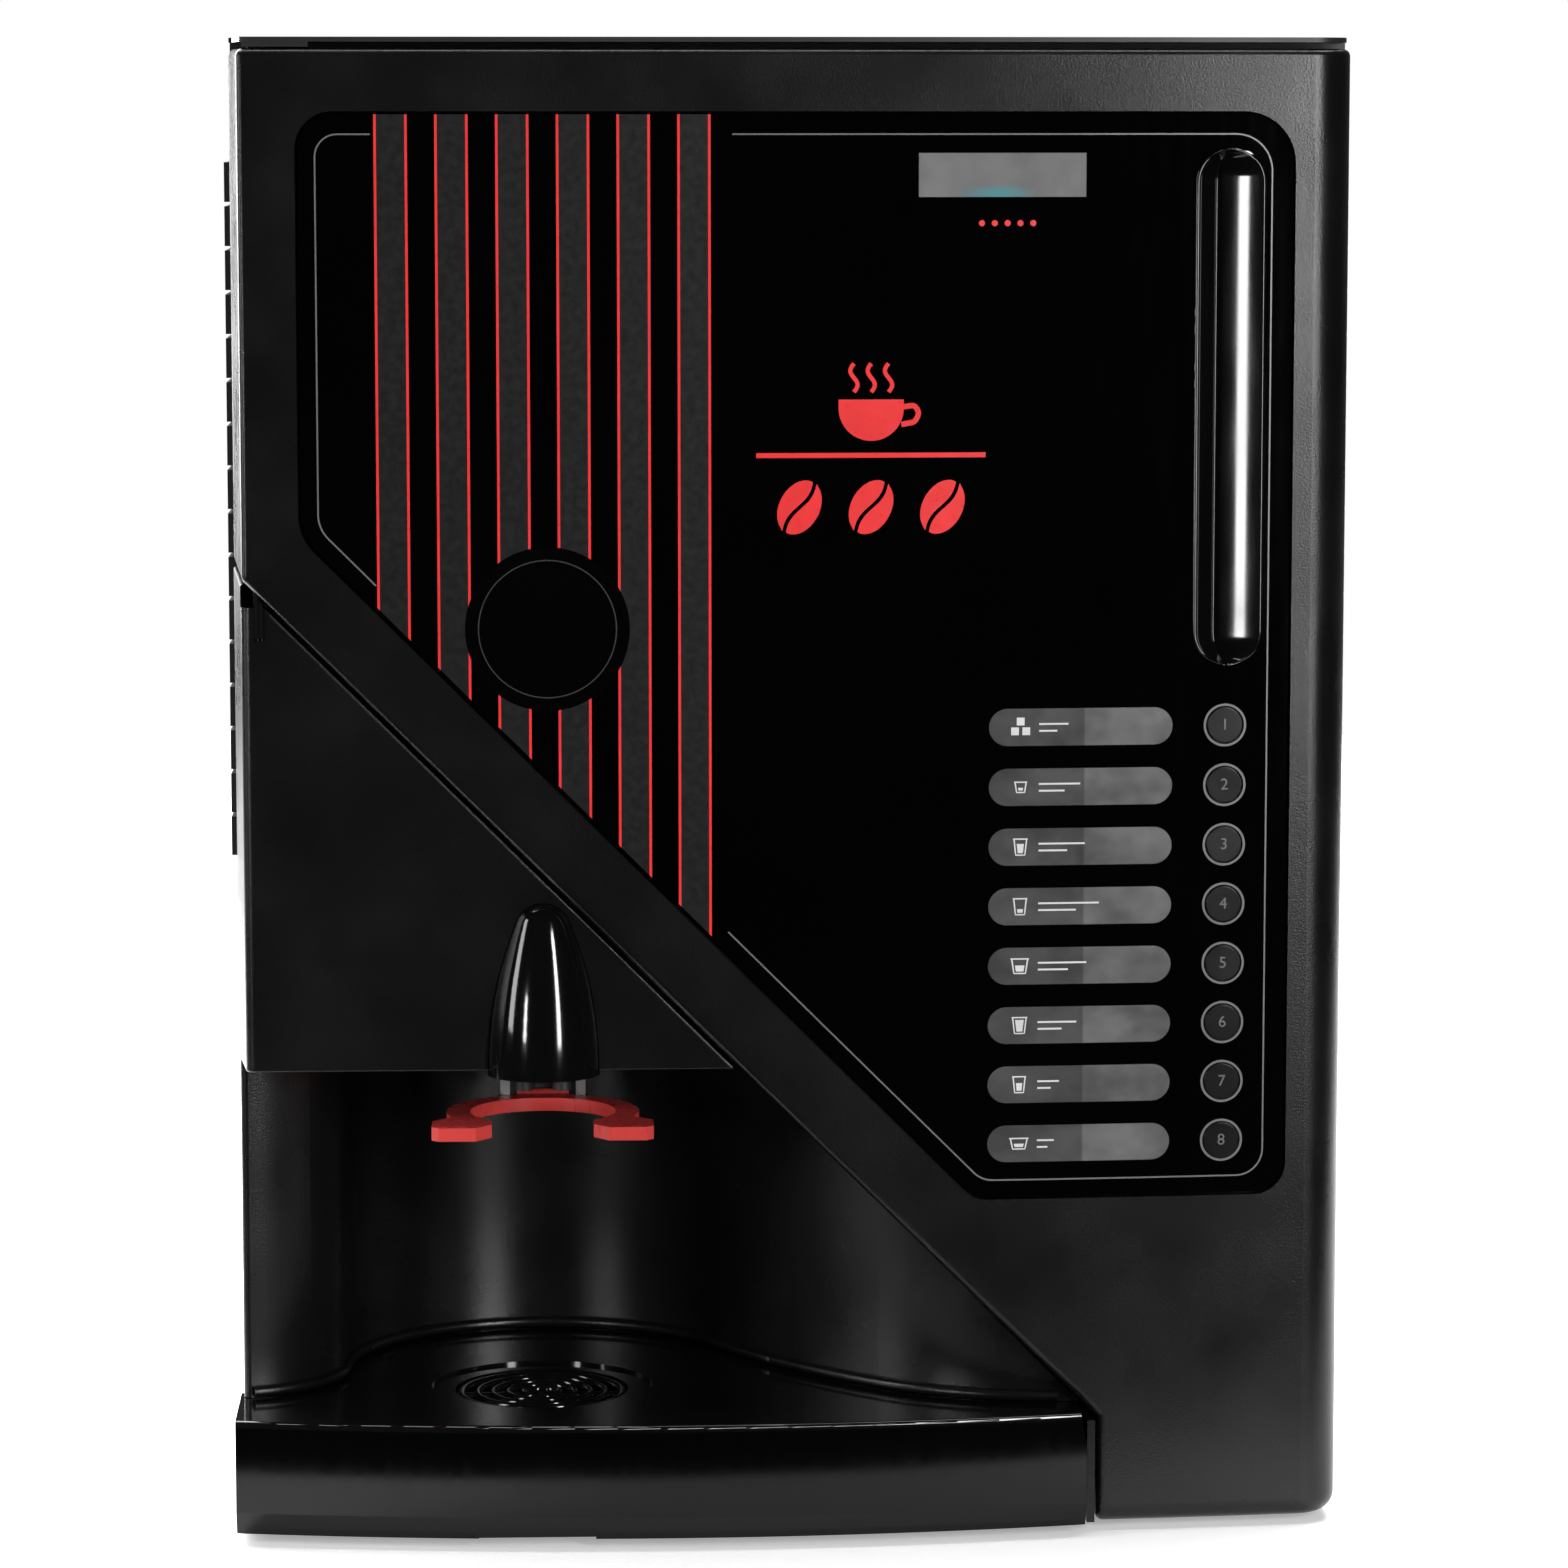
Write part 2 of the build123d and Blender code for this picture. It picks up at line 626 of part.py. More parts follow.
def tray_deck():
    """Top of the tray with the round seat for the grille."""
    low = TRAY_TOP - DECK
    deck = Pos(0, 0, low) * extrude(tray_plan(0, TRAY_REAR), amount=DECK)
    deck = fillet(deck.edges().filter_by(GeomType.CIRCLE).sort_by(Axis.Z)[-1], 1.5)
    deck = deck + rod_z(GRILLE_X, GRILLE_Y, low - 5, low + 0.5, GRILLE_R + 4)
    deck = deck - rod_z(GRILLE_X, GRILLE_Y, TRAY_TOP - 1.2, TRAY_TOP + 1, 46.5)
    deck = deck - rod_z(GRILLE_X, GRILLE_Y, low - 3, TRAY_TOP + 1, GRILLE_R + 0.4)
    deck = deck - rod_z(GRILLE_X, GRILLE_Y, low - 6, TRAY_TOP, GRILLE_R - 3)
    return deck - tray_draft()


def tray_grille():
    """Lift-out disc of concentric bars joined by a cross."""
    z0, z1 = TRAY_TOP - DECK - 2.9, TRAY_TOP - 1.6
    rings = [(GRILLE_R, 4.0), (28.5, 3.0), (22.0, 3.0), (15.5, 3.0), (9.0, 3.0)]
    grille = None
    for radius, width in rings:
        ring = rod_z(GRILLE_X, GRILLE_Y, z0, z1, radius)
        ring = ring - rod_z(GRILLE_X, GRILLE_Y, z0 - 1, z1 + 1, radius - width)
        grille = ring if grille is None else grille + ring
    reach = GRILLE_R - 1.5
    grille = grille + block(GRILLE_X - reach, GRILLE_X + reach, GRILLE_Y - 2, GRILLE_Y + 2, z0, z1 - 0.8)
    return grille + block(GRILLE_X - 2, GRILLE_X + 2, GRILLE_Y - reach, GRILLE_Y + reach, z0, z1 - 0.8)


def tray_post():
    """Narrow upright between the tray and the foot of the door."""
    top = EDGE_SUM - DOOR_FOOT_X - 1.2
    return block(TRAY_RIGHT + 1, DOOR_FOOT_X - 1, -221, CABINET_FRONT, TRAY_BOTTOM, top)


# ---------------------------------------------------------------- cabinet
def base_pan():
    x = SIDE_X - SHEET - 0.2
    rear = BACK_Y - SHEET
    pan = block(-x, x, CABINET_FRONT + 1, rear, FOOT_HEIGHT, FOOT_HEIGHT + SHEET)
    for side in (-1, 1):
        a, b = sorted((side * x, side * (x - SHEET)))
        pan = pan + block(a, b, CABINET_FRONT + 1, rear, FOOT_HEIGHT, 26)
    return pan + block(-x, x, rear - SHEET, rear, FOOT_HEIGHT, 26)


def side_panel(side):
    """Side sheet with pressed louvres; side is -1 for left, 1 for right."""
    def slab(x0, x1, y0, y1, z0, z1):
        a, b = sorted((side * x0, side * x1))
        return block(a, b, y0, y1, z0, z1)

    inner = SIDE_X - SHEET
    rear = BACK_Y - SHEET
    panel = slab(inner, SIDE_X, CABINET_FRONT, rear, FOOT_HEIGHT, TOP_SHEET_Z)
    for i in range(16):
        z = 278.0 + 18.0 * i
        panel = panel + slab(SIDE_X, SIDE_X + LOUVRE_OUT, -168, 190, z, z + 16.2)
        panel = panel - slab(inner - 1, SIDE_X + 3, -150, 172, z + 16.3, z + 17.9)
    if side > 0:
        panel = panel - rod_x(inner - 1, SIDE_X + 3, LOCK_Y, LOCK_Z, LOCK_R + RUNNING)
    return panel


def back_panel():
    x = SIDE_X
    panel = block(-x, x, BACK_Y - SHEET, BACK_Y, FOOT_HEIGHT, TOP_SHEET_Z)
    panel = panel - block(-184.2, -130.8, 220, 240, INLET_Z - 11.2, INLET_Z + 11.2)
    panel = panel - rod_y(-60, 220, 240, INLET_Z, 16)
    for i in range(-3, 4):
        half = math.sqrt(33.0**2 - (9.0 * i) ** 2)
        z = FAN_Z + 9.0 * i
        panel = panel - block(FAN_X - half, FAN_X + half, 220, 240, z - 2.5, z + 2.5)
    for x, z in back_screw_places():
        panel = panel - rod_y(x, 220, 240, z, 2.0)
    return panel


def back_screw_places():
    return [(x, z) for x in (-214, 214) for z in (36, 310, 590)]


def panel_screws():
    screws = []
    for x, z in back_screw_places():
        head = rod_y(x, BACK_Y, BACK_Y + 1.8, z, 4.0)
        slot = block(x - 3, x + 3, BACK_Y + 1.0, BACK_Y + 3, z - 0.5, z + 0.5)
        cross = block(x - 0.5, x + 0.5, BACK_Y + 1.0, BACK_Y + 3, z - 3, z + 3)
        screws.append(head + rod_y(x, BACK_Y - 6, BACK_Y, z, 1.95) - slot - cross)
    return Compound(children=screws)


def top_panel():
    x = SIDE_X + 0.5
    sheet_top = HEIGHT - 0.4
    panel = block(-x, x, CABINET_FRONT, BACK_Y, TOP_SHEET_Z, sheet_top)
    brow = extrude(door_plan(TOP_BROW_INSET, CABINET_FRONT), amount=sheet_top - TOP_SHEET_Z)
    panel = panel + Pos(0, 0, TOP_SHEET_Z) * brow
    for i in range(-3, 5):
        rib_x = 53.0 * i - 26.5
        panel = panel + block(rib_x - 6, rib_x + 6, CABINET_FRONT + 8, 200, sheet_top, HEIGHT)
    return panel


def front_frame():
    """Door frame of the cabinet, folded back at its inner edge, with the upper hinge plate welded on."""
    y0, y1 = CABINET_FRONT, CABINET_FRONT + SHEET
    x = SIDE_X - SHEET
    frame = block(-x, x, y0, y1, 592, TOP_SHEET_Z) + block(-x, -x + 18, y0, y1, 200, 592)
    frame = frame + block(x - 18, x, y0, y1, 28, 592)
    frame = frame + block(-x, -x + 18, y0 + 2, y0 + 3.5, 54, 200)
    frame = frame + block(-x, -x + 18, y0, y0 + 3.5, 198.5, 200)
    frame = frame + block(-x + 16.5, -x + 18, y0 + 2, y0 + 14, 60, 592)
    frame = frame + block(x - 18, x - 16.5, y0, y0 + 14, 28, 592)
    frame = frame + block(-x + 18, x - 18, y0, y0 + 14, 590.5, 592)
    hinge_plate = block(HINGE_X - 4.5, HINGE_X + 22, HINGE_Y - 5, y0, DOOR_TOP + 0.6, TOP_SHEET_Z)
    return frame + hinge_plate - rod_z(HINGE_X, HINGE_Y, 600, 620, HINGE_R + 0.02)


def hinge_pins():
    """Upper and lower pin of the door, and the cup holder's pin."""
    upper = rod_z(HINGE_X, HINGE_Y, 598, TOP_SHEET_Z, HINGE_R)
    lower = rod_z(HINGE_X, HINGE_Y, 373, 402, HINGE_R)
    cup = rod_x(-122, -84, HOLDER_PIN_Y, HOLDER_PIN_Z, HOLDER_PIN_R)
    return Compound(children=[upper, lower, cup])


def inner_frame():
    """Folded sheet that carries the canisters, the auger motors and the mixers."""
    left, right = -SIDE_X + SHEET + 0.3, BULKHEAD_X - 0.2
    rear = BACK_Y - SHEET
    frame = block(left, right, WALL_Y, rear, SHELF_Z, SHELF_Z + SHEET)
    frame = frame + block(left, right, WALL_Y, WALL_Y + SHEET, 200, SHELF_Z)
    frame = frame + block(left + 6, right, AUGER_MOTOR_Y, AUGER_MOTOR_Y + SHEET, SHELF_Z, 420)
    for x in canister_places():
        frame = frame - rod_y(x, AUGER_MOTOR_Y - 5, AUGER_MOTOR_Y + 5, AUGER_Z, 6)
    for x in MIXERS:
        frame = frame - rod_y(x, WALL_Y - 5, WALL_Y + 5, MIXER_Z, 6)
        frame = frame - rod_y(x, WALL_Y - 5, WALL_Y + 5, MIXER_Z + 40, 4)
    return frame


def service_bulkhead():
    """Upright sheet between the works and the electrical bay."""
    rear = BACK_Y - 2 * SHEET
    return block(BULKHEAD_X, BULKHEAD_X + SHEET, -160, rear, FOOT_HEIGHT + SHEET, 588)


def feet():
    places = [(x, y) for x in (-195, 195) for y in (-150, 200)]
    return Compound(children=[rod_z(x, y, 0, FOOT_HEIGHT, 16) for x, y in places])


# ---------------------------------------------------------------- dispensing works
def canister_places():
    return [CANISTER_X0 + CANISTER_PITCH * i for i in range(CANISTERS)]


def mixer_of(index):
    return MIXERS[index // 2]


def hopper_outline(x, half, top, neck):
    """Canister section: straight sides narrowing to the auger trough."""
    low = AUGER_Z + 2
    left = [(x - half, top), (x - half, 420), (x - neck, low)]
    return left + [(x + neck, low), (x + half, 420), (x + half, top)]


def canister(index):
    x = canister_places()[index]
    y0, y1 = -88.0, 142.0
    wall = CANISTER_WALL
    trough = AUGER_R + 1.0
    top = 548.0
    target = mixer_of(index) + (18 if x > mixer_of(index) else -18)
    outer = prism_y(hopper_outline(x, CANISTER_HALF, top, trough + wall), y0, y1)
    outer = outer + rod_y(x, y0 - 32, y1, AUGER_Z, trough + wall)
    chute = [(x - 13, AUGER_Z - 8), (x + 13, AUGER_Z - 8), (target + 11, 322), (target - 11, 322)]
    outer = outer + prism_y(chute, y0 - 30, y0 - 6)
    inner = prism_y(hopper_outline(x, CANISTER_HALF - wall, top + 1, trough), y0 + wall, y1 - wall)
    inner = inner + rod_y(x, y0 - 30, y1 - wall, AUGER_Z, trough)
    bore = [(x - 11, AUGER_Z - 8), (x + 11, AUGER_Z - 8), (target + 9, 321), (target - 9, 321)]
    inner = inner + prism_y(bore, y0 - 28, y0 - 8)
    return outer - inner - rod_y(x, y1 - 5, y1 + 5, AUGER_Z, 4.5)


def canisters():
    return Compound(children=[canister(i) for i in range(CANISTERS)])


def canister_lids():
    """Push-on lids of the canisters."""
    lids = []
    for x in canister_places():
        lid = block(x - 42, x + 42, -88, 142, 548, 551) + block(x - 39, x + 39, -85, 139, 545, 548)
        grip = block(x - 5, x + 5, -30, 80, 551, 560)
        lids.append(lid + fillet(grip.edges().filter_by(Axis.Y), 2.5))
    return Compound(children=lids)


def auger(index):
    """Feed screw of one canister: shaft with slanted flights."""
    x = canister_places()[index]
    screw = rod_y(x, -114, AUGER_MOTOR_Y + 8, AUGER_Z, 3.0)
    for k in range(13):
        flight = Pos(x, -104 + 18.5 * k, AUGER_Z) * Rot(106, 0, 0) * Cylinder(AUGER_R - 0.6, 2.2)
        screw = screw + flight
    return screw


def mixer_bowl(x):
    """Mixing bowl: funnel on a round whipping chamber."""
    wall = 2.0
    z_top = 320.0
    funnel_r = 38.0
    chamber = rod_y(x, MIXER_Y - CHAMBER_R, WALL_Y, MIXER_Z, CHAMBER_R)
    z_low = MIXER_Z + 8
    funnel = Pos(x, MIXER_Y, (z_low + z_top) / 2) * Cone(20, funnel_r, z_top - z_low)
    outlet = rod_y(x, MIXER_Y - CHAMBER_R - 14, MIXER_Y, MIXER_Z - 12, 6.5)
    port = rod_y(x, MIXER_Y, WALL_Y - 8, MIXER_Z + 40, 5)
    outer = chamber + funnel + outlet + port
    room = rod_y(x, MIXER_Y - CHAMBER_R + wall, WALL_Y + 1, MIXER_Z, CHAMBER_R - wall)
    middle = (z_low + z_top) / 2
    inside = Pos(x, MIXER_Y, middle + 0.01) * Cone(20 - wall, funnel_r - wall, z_top - z_low + 0.02)
    way_out = rod_y(x, MIXER_Y - 40, MIXER_Y, MIXER_Z - 12, 4.5)
    way_in = rod_y(x, MIXER_Y, WALL_Y - 7, MIXER_Z + 40, 3)
    return outer - room - inside - way_out - way_in


def mixer_bowls():
    return Compound(children=[mixer_bowl(x) for x in MIXERS])


def impeller(x):
    """Whipper of one mixer, with its shaft into the motor."""
    wheel = rod_y(x, -120, -98, MIXER_Z, 6)
    for k in range(6):
        blade = block(-1, 1, -118, -102, 4, 17)
        wheel = wheel + Pos(x, 0, MIXER_Z) * Rot(0, 60 * k, 0) * blade
    disc = rod_y(x, -102, -99, MIXER_Z, 17)
    return wheel + disc + rod_y(x, -98, -50, MIXER_Z, 2.5)


def drive_motors():
    """Gear motor behind each canister and whipper motor behind each mixer."""
    motors = []
    for x in canister_places():
        y = AUGER_MOTOR_Y + SHEET
        gearbox = block(x - 26, x + 26, y, y + 22, SHELF_Z + SHEET + 1, AUGER_Z + 38)
        can = rod_y(x, y + 22, y + 56, AUGER_Z + 14, 18)
        motors.append(gearbox + can - rod_y(x, y - 1, y + 8, AUGER_Z, 3.0 + RUNNING))
    for x in MIXERS:
        y = WALL_Y + SHEET
        flange = block(x - 20, x + 20, y, y + 3, MIXER_Z - 20, MIXER_Z + 20)
        can = rod_y(x, y + 3, y + 48, MIXER_Z, 18)
        motors.append(flange + can - rod_y(x, y - 1, y + 10, MIXER_Z, 2.5 + RUNNING))
    return Compound(children=motors)


def delivery_hoses():
    """Silicone hoses from the mixers down to the nozzle block."""
    start_y = MIXER_Y - CHAMBER_R - 14
    z = MIXER_Z - 12
    drop = CEILING_Z + LINER + 15
    hoses = []
    for x, port in zip(MIXERS, (-114.0, -92.0)):
        points = [(x, start_y, z), (x, start_y - 26, z), (port, -168, z - 14), (port, -168, drop)]
        hoses.append(tube_along(points, [9, 8], 5.0, 3.5))
    return Compound(children=hoses)


def boiler():
    """Upright stainless boiler with a sheet wall, on a foot ring, with a port under each valve."""
    x, y, wall = 62.0, 100.0, 2.5
    foot = rod_z(x, y, FOOT_HEIGHT + SHEET, 26, 34) - rod_z(x, y, 0, 26, 31)
    tank = rod_z(x, y, 26, 200, 50)
    tank = fillet(tank.edges().filter_by(GeomType.CIRCLE), 8)
    rim = rod_z(x, y, 150, 156, 54)
    inside = rod_z(x, y, 26 + wall, 200 - wall, 50 - wall)
    inside = fillet(inside.edges().filter_by(GeomType.CIRCLE), 8 - wall)
    vessel = foot + tank + rim - inside
    for port_x in VALVE_X:
        vessel = vessel - rod_z(port_x, y, 190, 201, 3.2)
    return vessel


def water_valves():
    """Solenoid valve on the boiler for each mixer."""
    valves = []
    for x in VALVE_X:
        stem = rod_z(x, 100, 200, 216, 5)
        coil = block(x - 12, x + 12, 86, 114, 216, 242)
        valves.append(stem + fillet(coil.edges().filter_by(Axis.Z), 3) + rod_z(x, 100, 242, 250, 4))
    return Compound(children=valves)


def water_pipes():
    """Hot water pipes to the mixers and the feed pipe from the pump to the boiler."""
    z = MIXER_Z + 40
    first = [(44, 100, 250), (44, 100, 275), (MIXERS[0], 60, z), (MIXERS[0], WALL_Y - 8, z)]
    second = [(80, 100, 250), (80, 100, 275), (MIXERS[1], 40, z), (MIXERS[1], WALL_Y - 8, z)]
    feed = [(-60, 190, INLET_Z), (-60, 150, INLET_Z), (-60, 100, 40), (12, 100, 40)]
    pipes = [
        tube_along(first, [10, 16], 3.0, 0),
        tube_along(second, [10, 14], 3.0, 0),
        tube_along(feed, [12, 14], 4.0, 0),
    ]
    return Compound(children=pipes)


# ---------------------------------------------------------------- electrics
def power_supply():
    """Sheet steel case with slots in its front, and its terminal strip."""
    x0, x1, z0, z1 = BULKHEAD_X + SHEET + 3, 218, FOOT_HEIGHT + SHEET, 110
    body = block(x0, x1, -120, 40, z0, z1)
    body = body - block(x0 + SHEET, x1 - SHEET, -120 + SHEET, 40 - SHEET, z0 + SHEET, z1 - SHEET)
    for i in range(6):
        body = body - block(x0 + 8 + 9 * i, x0 + 12 + 9 * i, -125, -112, 30, 90)
    return body + block(x0 + 4, x0 + 50, -132, -120, 14, 24)


def control_board():
    """Main board on stand-offs, with its larger components."""
    x0 = BULKHEAD_X + SHEET
    board = block(x0 + 6, x0 + 7.6, -140, 20, 320, 540)
    for y in (-134, 14):
        for z in (326, 534):
            board = board + rod_x(x0, x0 + 6.5, y, z, 3)
    for i in range(6):
        board = board + block(x0 + 7.6, x0 + 23, -132 + 24 * i, -116 + 24 * i, 330, 350)
    board = board + block(x0 + 7.6, x0 + 11, -90, -62, 420, 448)
    board = board + block(x0 + 7.6, x0 + 34, -30, 8, 470, 512)
    for i in range(4):
        board = board + block(x0 + 7.6, x0 + 19, -134, -126, 380 + 34 * i, 404 + 34 * i)
    return board


def fan_housing():
    y0, y1 = BACK_Y - SHEET - 25, BACK_Y - SHEET
    frame = block(FAN_X - 37, FAN_X + 37, y0, y1, FAN_Z - 37, FAN_Z + 37)
    frame = fillet(frame.edges().filter_by(Axis.Y), 4) - rod_y(FAN_X, y0 - 1, y1 + 1, FAN_Z, 35.3)
    frame = frame + rod_y(FAN_X, y0, y0 + 3, FAN_Z, 13)
    for angle in (45, 135, 225, 315):
        arm = Pos(FAN_X, 0, FAN_Z) * Rot(0, angle, 0) * block(10, 36, y0, y0 + 3, -2, 2)
        frame = frame + arm
    return frame - rod_y(FAN_X, y0 - 1, y0 + 4, FAN_Z, 2 + RUNNING)


def fan_rotor():
    y0 = BACK_Y - SHEET - 21
    hub = rod_y(FAN_X, y0, y0 + 17, FAN_Z, 15) + rod_y(FAN_X, y0 - 4, y0, FAN_Z, 2)
    for k in range(7):
        blade = Pos(24, y0 + 8.5, 0) * Rot(35, 0, 0) * Box(20, 2, 16)
        hub = hub + Pos(FAN_X, 0, FAN_Z) * Rot(0, 360 / 7 * k, 0) * blade
    return hub


def power_inlet():
    """Rear module with the mains socket and the recess for the switch."""
    y = BACK_Y
    flange = block(-188, -127, y, y + 2.5, INLET_Z - 15, INLET_Z + 15)
    body = block(-184, -131, y - 26, y, INLET_Z - 11, INLET_Z + 11)
    module = fillet(flange.edges().filter_by(Axis.Y), 3) + body
    module = module - rod_x(-153, -131, y - 3, INLET_Z, PIVOT_R + RUNNING)
    module = module - block(-182, -155, y - 18, y + 3, INLET_Z - 8.5, INLET_Z + 8.5)
    for x in (-174, -168.5, -163):
        module = module + block(x - 0.9, x + 0.9, y - 19, y - 4, INLET_Z - 2.4, INLET_Z + 2.4)
    return module - block(-150, -134, y - 14, y + 3, INLET_Z - 9, INLET_Z + 9)


def rocker_switch():
    """Mains switch that rocks on two level pivot pins."""
    y = BACK_Y
    outline = [(y - 9, -6), (y + 1.2, -7), (y + 0.6, 0), (y + 4.2, 7), (y - 9, 6)]
    face = make_face(Polyline(*[(-149.6, a, INLET_Z + b) for a, b in outline], close=True))
    pivots = rod_x(-152, -132, y - 3, INLET_Z, PIVOT_R)
    return extrude(face, amount=15.2, dir=(1, 0, 0)) + pivots


def water_inlet():
    """Solenoid inlet valve with its 3/4 inch outside thread at the rear."""
    x = -60.0
    spigot = rod_y(x, BACK_Y, DEPTH / 2, INLET_Z, WATER_R)
    neck = rod_y(x, BACK_Y - SHEET - 4, BACK_Y, INLET_Z, 15)
    body = rod_y(x, BACK_Y - 30, BACK_Y - SHEET - 4, INLET_Z, 18)
    coil = block(x - 13, x + 13, BACK_Y - 34, BACK_Y - 10, INLET_Z + 14, INLET_Z + 44)
    tail = rod_y(x, 190, BACK_Y - 30, INLET_Z, 6)
    valve = spigot + neck + body + fillet(coil.edges().filter_by(Axis.Z), 3) + tail
    return valve - rod_y(x, BACK_Y - 5, DEPTH / 2 + 1, INLET_Z, 8.5)


# ---------------------------------------------------------------- write the parts
def all_parts():
    parts = {
        "base_pan": base_pan(),
        "side_panel_left": side_panel(-1),
        "side_panel_right": side_panel(1),
        "back_panel": back_panel(),
        "top_panel": top_panel(),
        "front_frame": front_frame(),
        "inner_frame": inner_frame(),
        "service_bulkhead": service_bulkhead(),
        "feet": feet(),
        "panel_screws": panel_screws(),
        "hinge_pins": hinge_pins(),
        "hood": hood(),
        "niche_liner": niche_liner(),
        "nozzle_cover": nozzle_cover(),
        "nozzle_block": nozzle_block(),
        "cup_bracket": cup_bracket(),
        "cup_holder": cup_holder(),
        "cup_sensors": cup_sensors(),
        "drip_tray": drip_tray(),
        "tray_deck": tray_deck(),
        "tray_grille": tray_grille(),
        "tray_post": tray_post(),
        "canisters": canisters(),
        "canister_lids": canister_lids(),
        "drive_motors": drive_motors(),
        "mixer_bowls": mixer_bowls(),
        "delivery_hoses": delivery_hoses(),
        "boiler": boiler(),
        "water_valves": water_valves(),
        "water_pipes": water_pipes(),
        "water_inlet": water_inlet(),
        "power_supply": power_supply(),
        "control_board": control_board(),
        "fan_housing": fan_housing(),
        "fan_rotor": fan_rotor(),
        "power_inlet": power_inlet(),
        "rocker_switch": rocker_switch(),
        "door_frame": door_frame(),
        "front_panel": front_panel(),
        "label_windows": label_windows(),
        "button_board": button_board(),
        "display_lens": display_lens(),
        "display_module": display_module(),
        "finger_pull": finger_pull(),
        "lock_cylinder": lock_cylinder(),
        "lock_cam": lock_cam(),
    }
    for i in range(CANISTERS):
        parts[f"auger_{i + 1}"] = auger(i)
    for i, x in enumerate(MIXERS):
        parts[f"impeller_{i + 1}"] = impeller(x)
    for i in range(BUTTONS):
        parts[f"button_{i + 1}"] = button(i)
    return parts


os.makedirs("parts", exist_ok=True)
for node, shape in all_parts().items():
    export_step(shape, f"parts/{node}.step")
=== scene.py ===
"""Hot drinks vending machine: finishes, printed graphics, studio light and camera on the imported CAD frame.

Metres, +Z up, the door towards -Y. Positions come from the CAD nodes' boxes and surfaces.
"""

import json
import math

import bmesh
import bpy
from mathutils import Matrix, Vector
from mathutils.bvhtree import BVHTree


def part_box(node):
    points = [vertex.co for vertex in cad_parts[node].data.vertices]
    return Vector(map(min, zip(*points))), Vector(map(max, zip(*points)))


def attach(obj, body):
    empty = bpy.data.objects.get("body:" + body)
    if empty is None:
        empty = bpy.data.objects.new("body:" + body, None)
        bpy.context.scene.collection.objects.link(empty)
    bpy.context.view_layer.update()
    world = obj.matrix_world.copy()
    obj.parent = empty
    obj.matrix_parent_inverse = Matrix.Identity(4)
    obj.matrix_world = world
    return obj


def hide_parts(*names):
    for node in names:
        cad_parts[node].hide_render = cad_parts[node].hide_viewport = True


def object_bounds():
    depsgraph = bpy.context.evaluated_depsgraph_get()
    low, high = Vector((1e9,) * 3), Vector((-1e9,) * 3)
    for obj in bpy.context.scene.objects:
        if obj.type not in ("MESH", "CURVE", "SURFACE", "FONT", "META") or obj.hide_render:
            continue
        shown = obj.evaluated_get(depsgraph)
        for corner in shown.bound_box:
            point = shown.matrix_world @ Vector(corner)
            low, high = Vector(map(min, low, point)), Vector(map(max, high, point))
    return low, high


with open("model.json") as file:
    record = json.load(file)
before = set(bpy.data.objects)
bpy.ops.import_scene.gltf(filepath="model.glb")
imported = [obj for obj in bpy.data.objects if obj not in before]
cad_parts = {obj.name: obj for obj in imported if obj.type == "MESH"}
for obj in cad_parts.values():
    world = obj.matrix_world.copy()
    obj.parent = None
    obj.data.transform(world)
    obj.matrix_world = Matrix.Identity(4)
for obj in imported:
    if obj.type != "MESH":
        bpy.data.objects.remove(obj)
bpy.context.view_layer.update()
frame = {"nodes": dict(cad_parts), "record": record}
nodes = frame["nodes"]
MM = 0.001

# ---------------------------------------------------------------- camera
CAMERA_X = -0.099
CAMERA_DISTANCE = 2.260  # from the door's front plane
CAMERA_Z = 0.590
CAMERA_PITCH = 6.97
CAMERA_YAW = 2.4
LENS = 128.7


def make_camera():
    door_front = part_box("door_frame")[0].y
    data = bpy.data.cameras.new("camera")
    data.lens = LENS
    data.sensor_width = 36.0
    camera = bpy.data.objects.new("camera", data)
    camera.location = (CAMERA_X, door_front - CAMERA_DISTANCE, CAMERA_Z)
    camera.rotation_euler = (math.radians(90 - CAMERA_PITCH), 0, math.radians(-CAMERA_YAW))
    bpy.context.scene.collection.objects.link(camera)
    bpy.context.scene.camera = camera


# ---------------------------------------------------------------- light
def make_world():
    """White backdrop behind the machine and a dim studio in front of it."""
    world = bpy.data.worlds.new("studio")
    bpy.context.scene.world = world
    world.use_nodes = True
    tree = world.node_tree
    tree.nodes.clear()
    coords = tree.nodes.new("ShaderNodeTexCoord")
    split = tree.nodes.new("ShaderNodeSeparateXYZ")
    tree.links.new(coords.outputs["Generated"], split.inputs[0])
    behind = tree.nodes.new("ShaderNodeMapRange")
    behind.interpolation_type = "SMOOTHSTEP"
    behind.inputs["From Min"].default_value = 0.15
    behind.inputs["From Max"].default_value = 0.9
    behind.inputs["To Min"].default_value = 0.006
    behind.inputs["To Max"].default_value = 0.06
    tree.links.new(split.outputs["Y"], behind.inputs["Value"])
    path = tree.nodes.new("ShaderNodeLightPath")
    seen = tree.nodes.new("ShaderNodeMath")
    seen.operation = "MAXIMUM"
    tree.links.new(path.outputs["Is Camera Ray"], seen.inputs[0])
    tree.links.new(behind.outputs[0], seen.inputs[1])
    background = tree.nodes.new("ShaderNodeBackground")
    background.inputs["Color"].default_value = (1, 1, 1, 1)
    tree.links.new(seen.outputs[0], background.inputs["Strength"])
    output = tree.nodes.new("ShaderNodeOutputWorld")
    tree.links.new(background.outputs[0], output.inputs["Surface"])
    bpy.context.scene.view_settings.view_transform = "Standard"


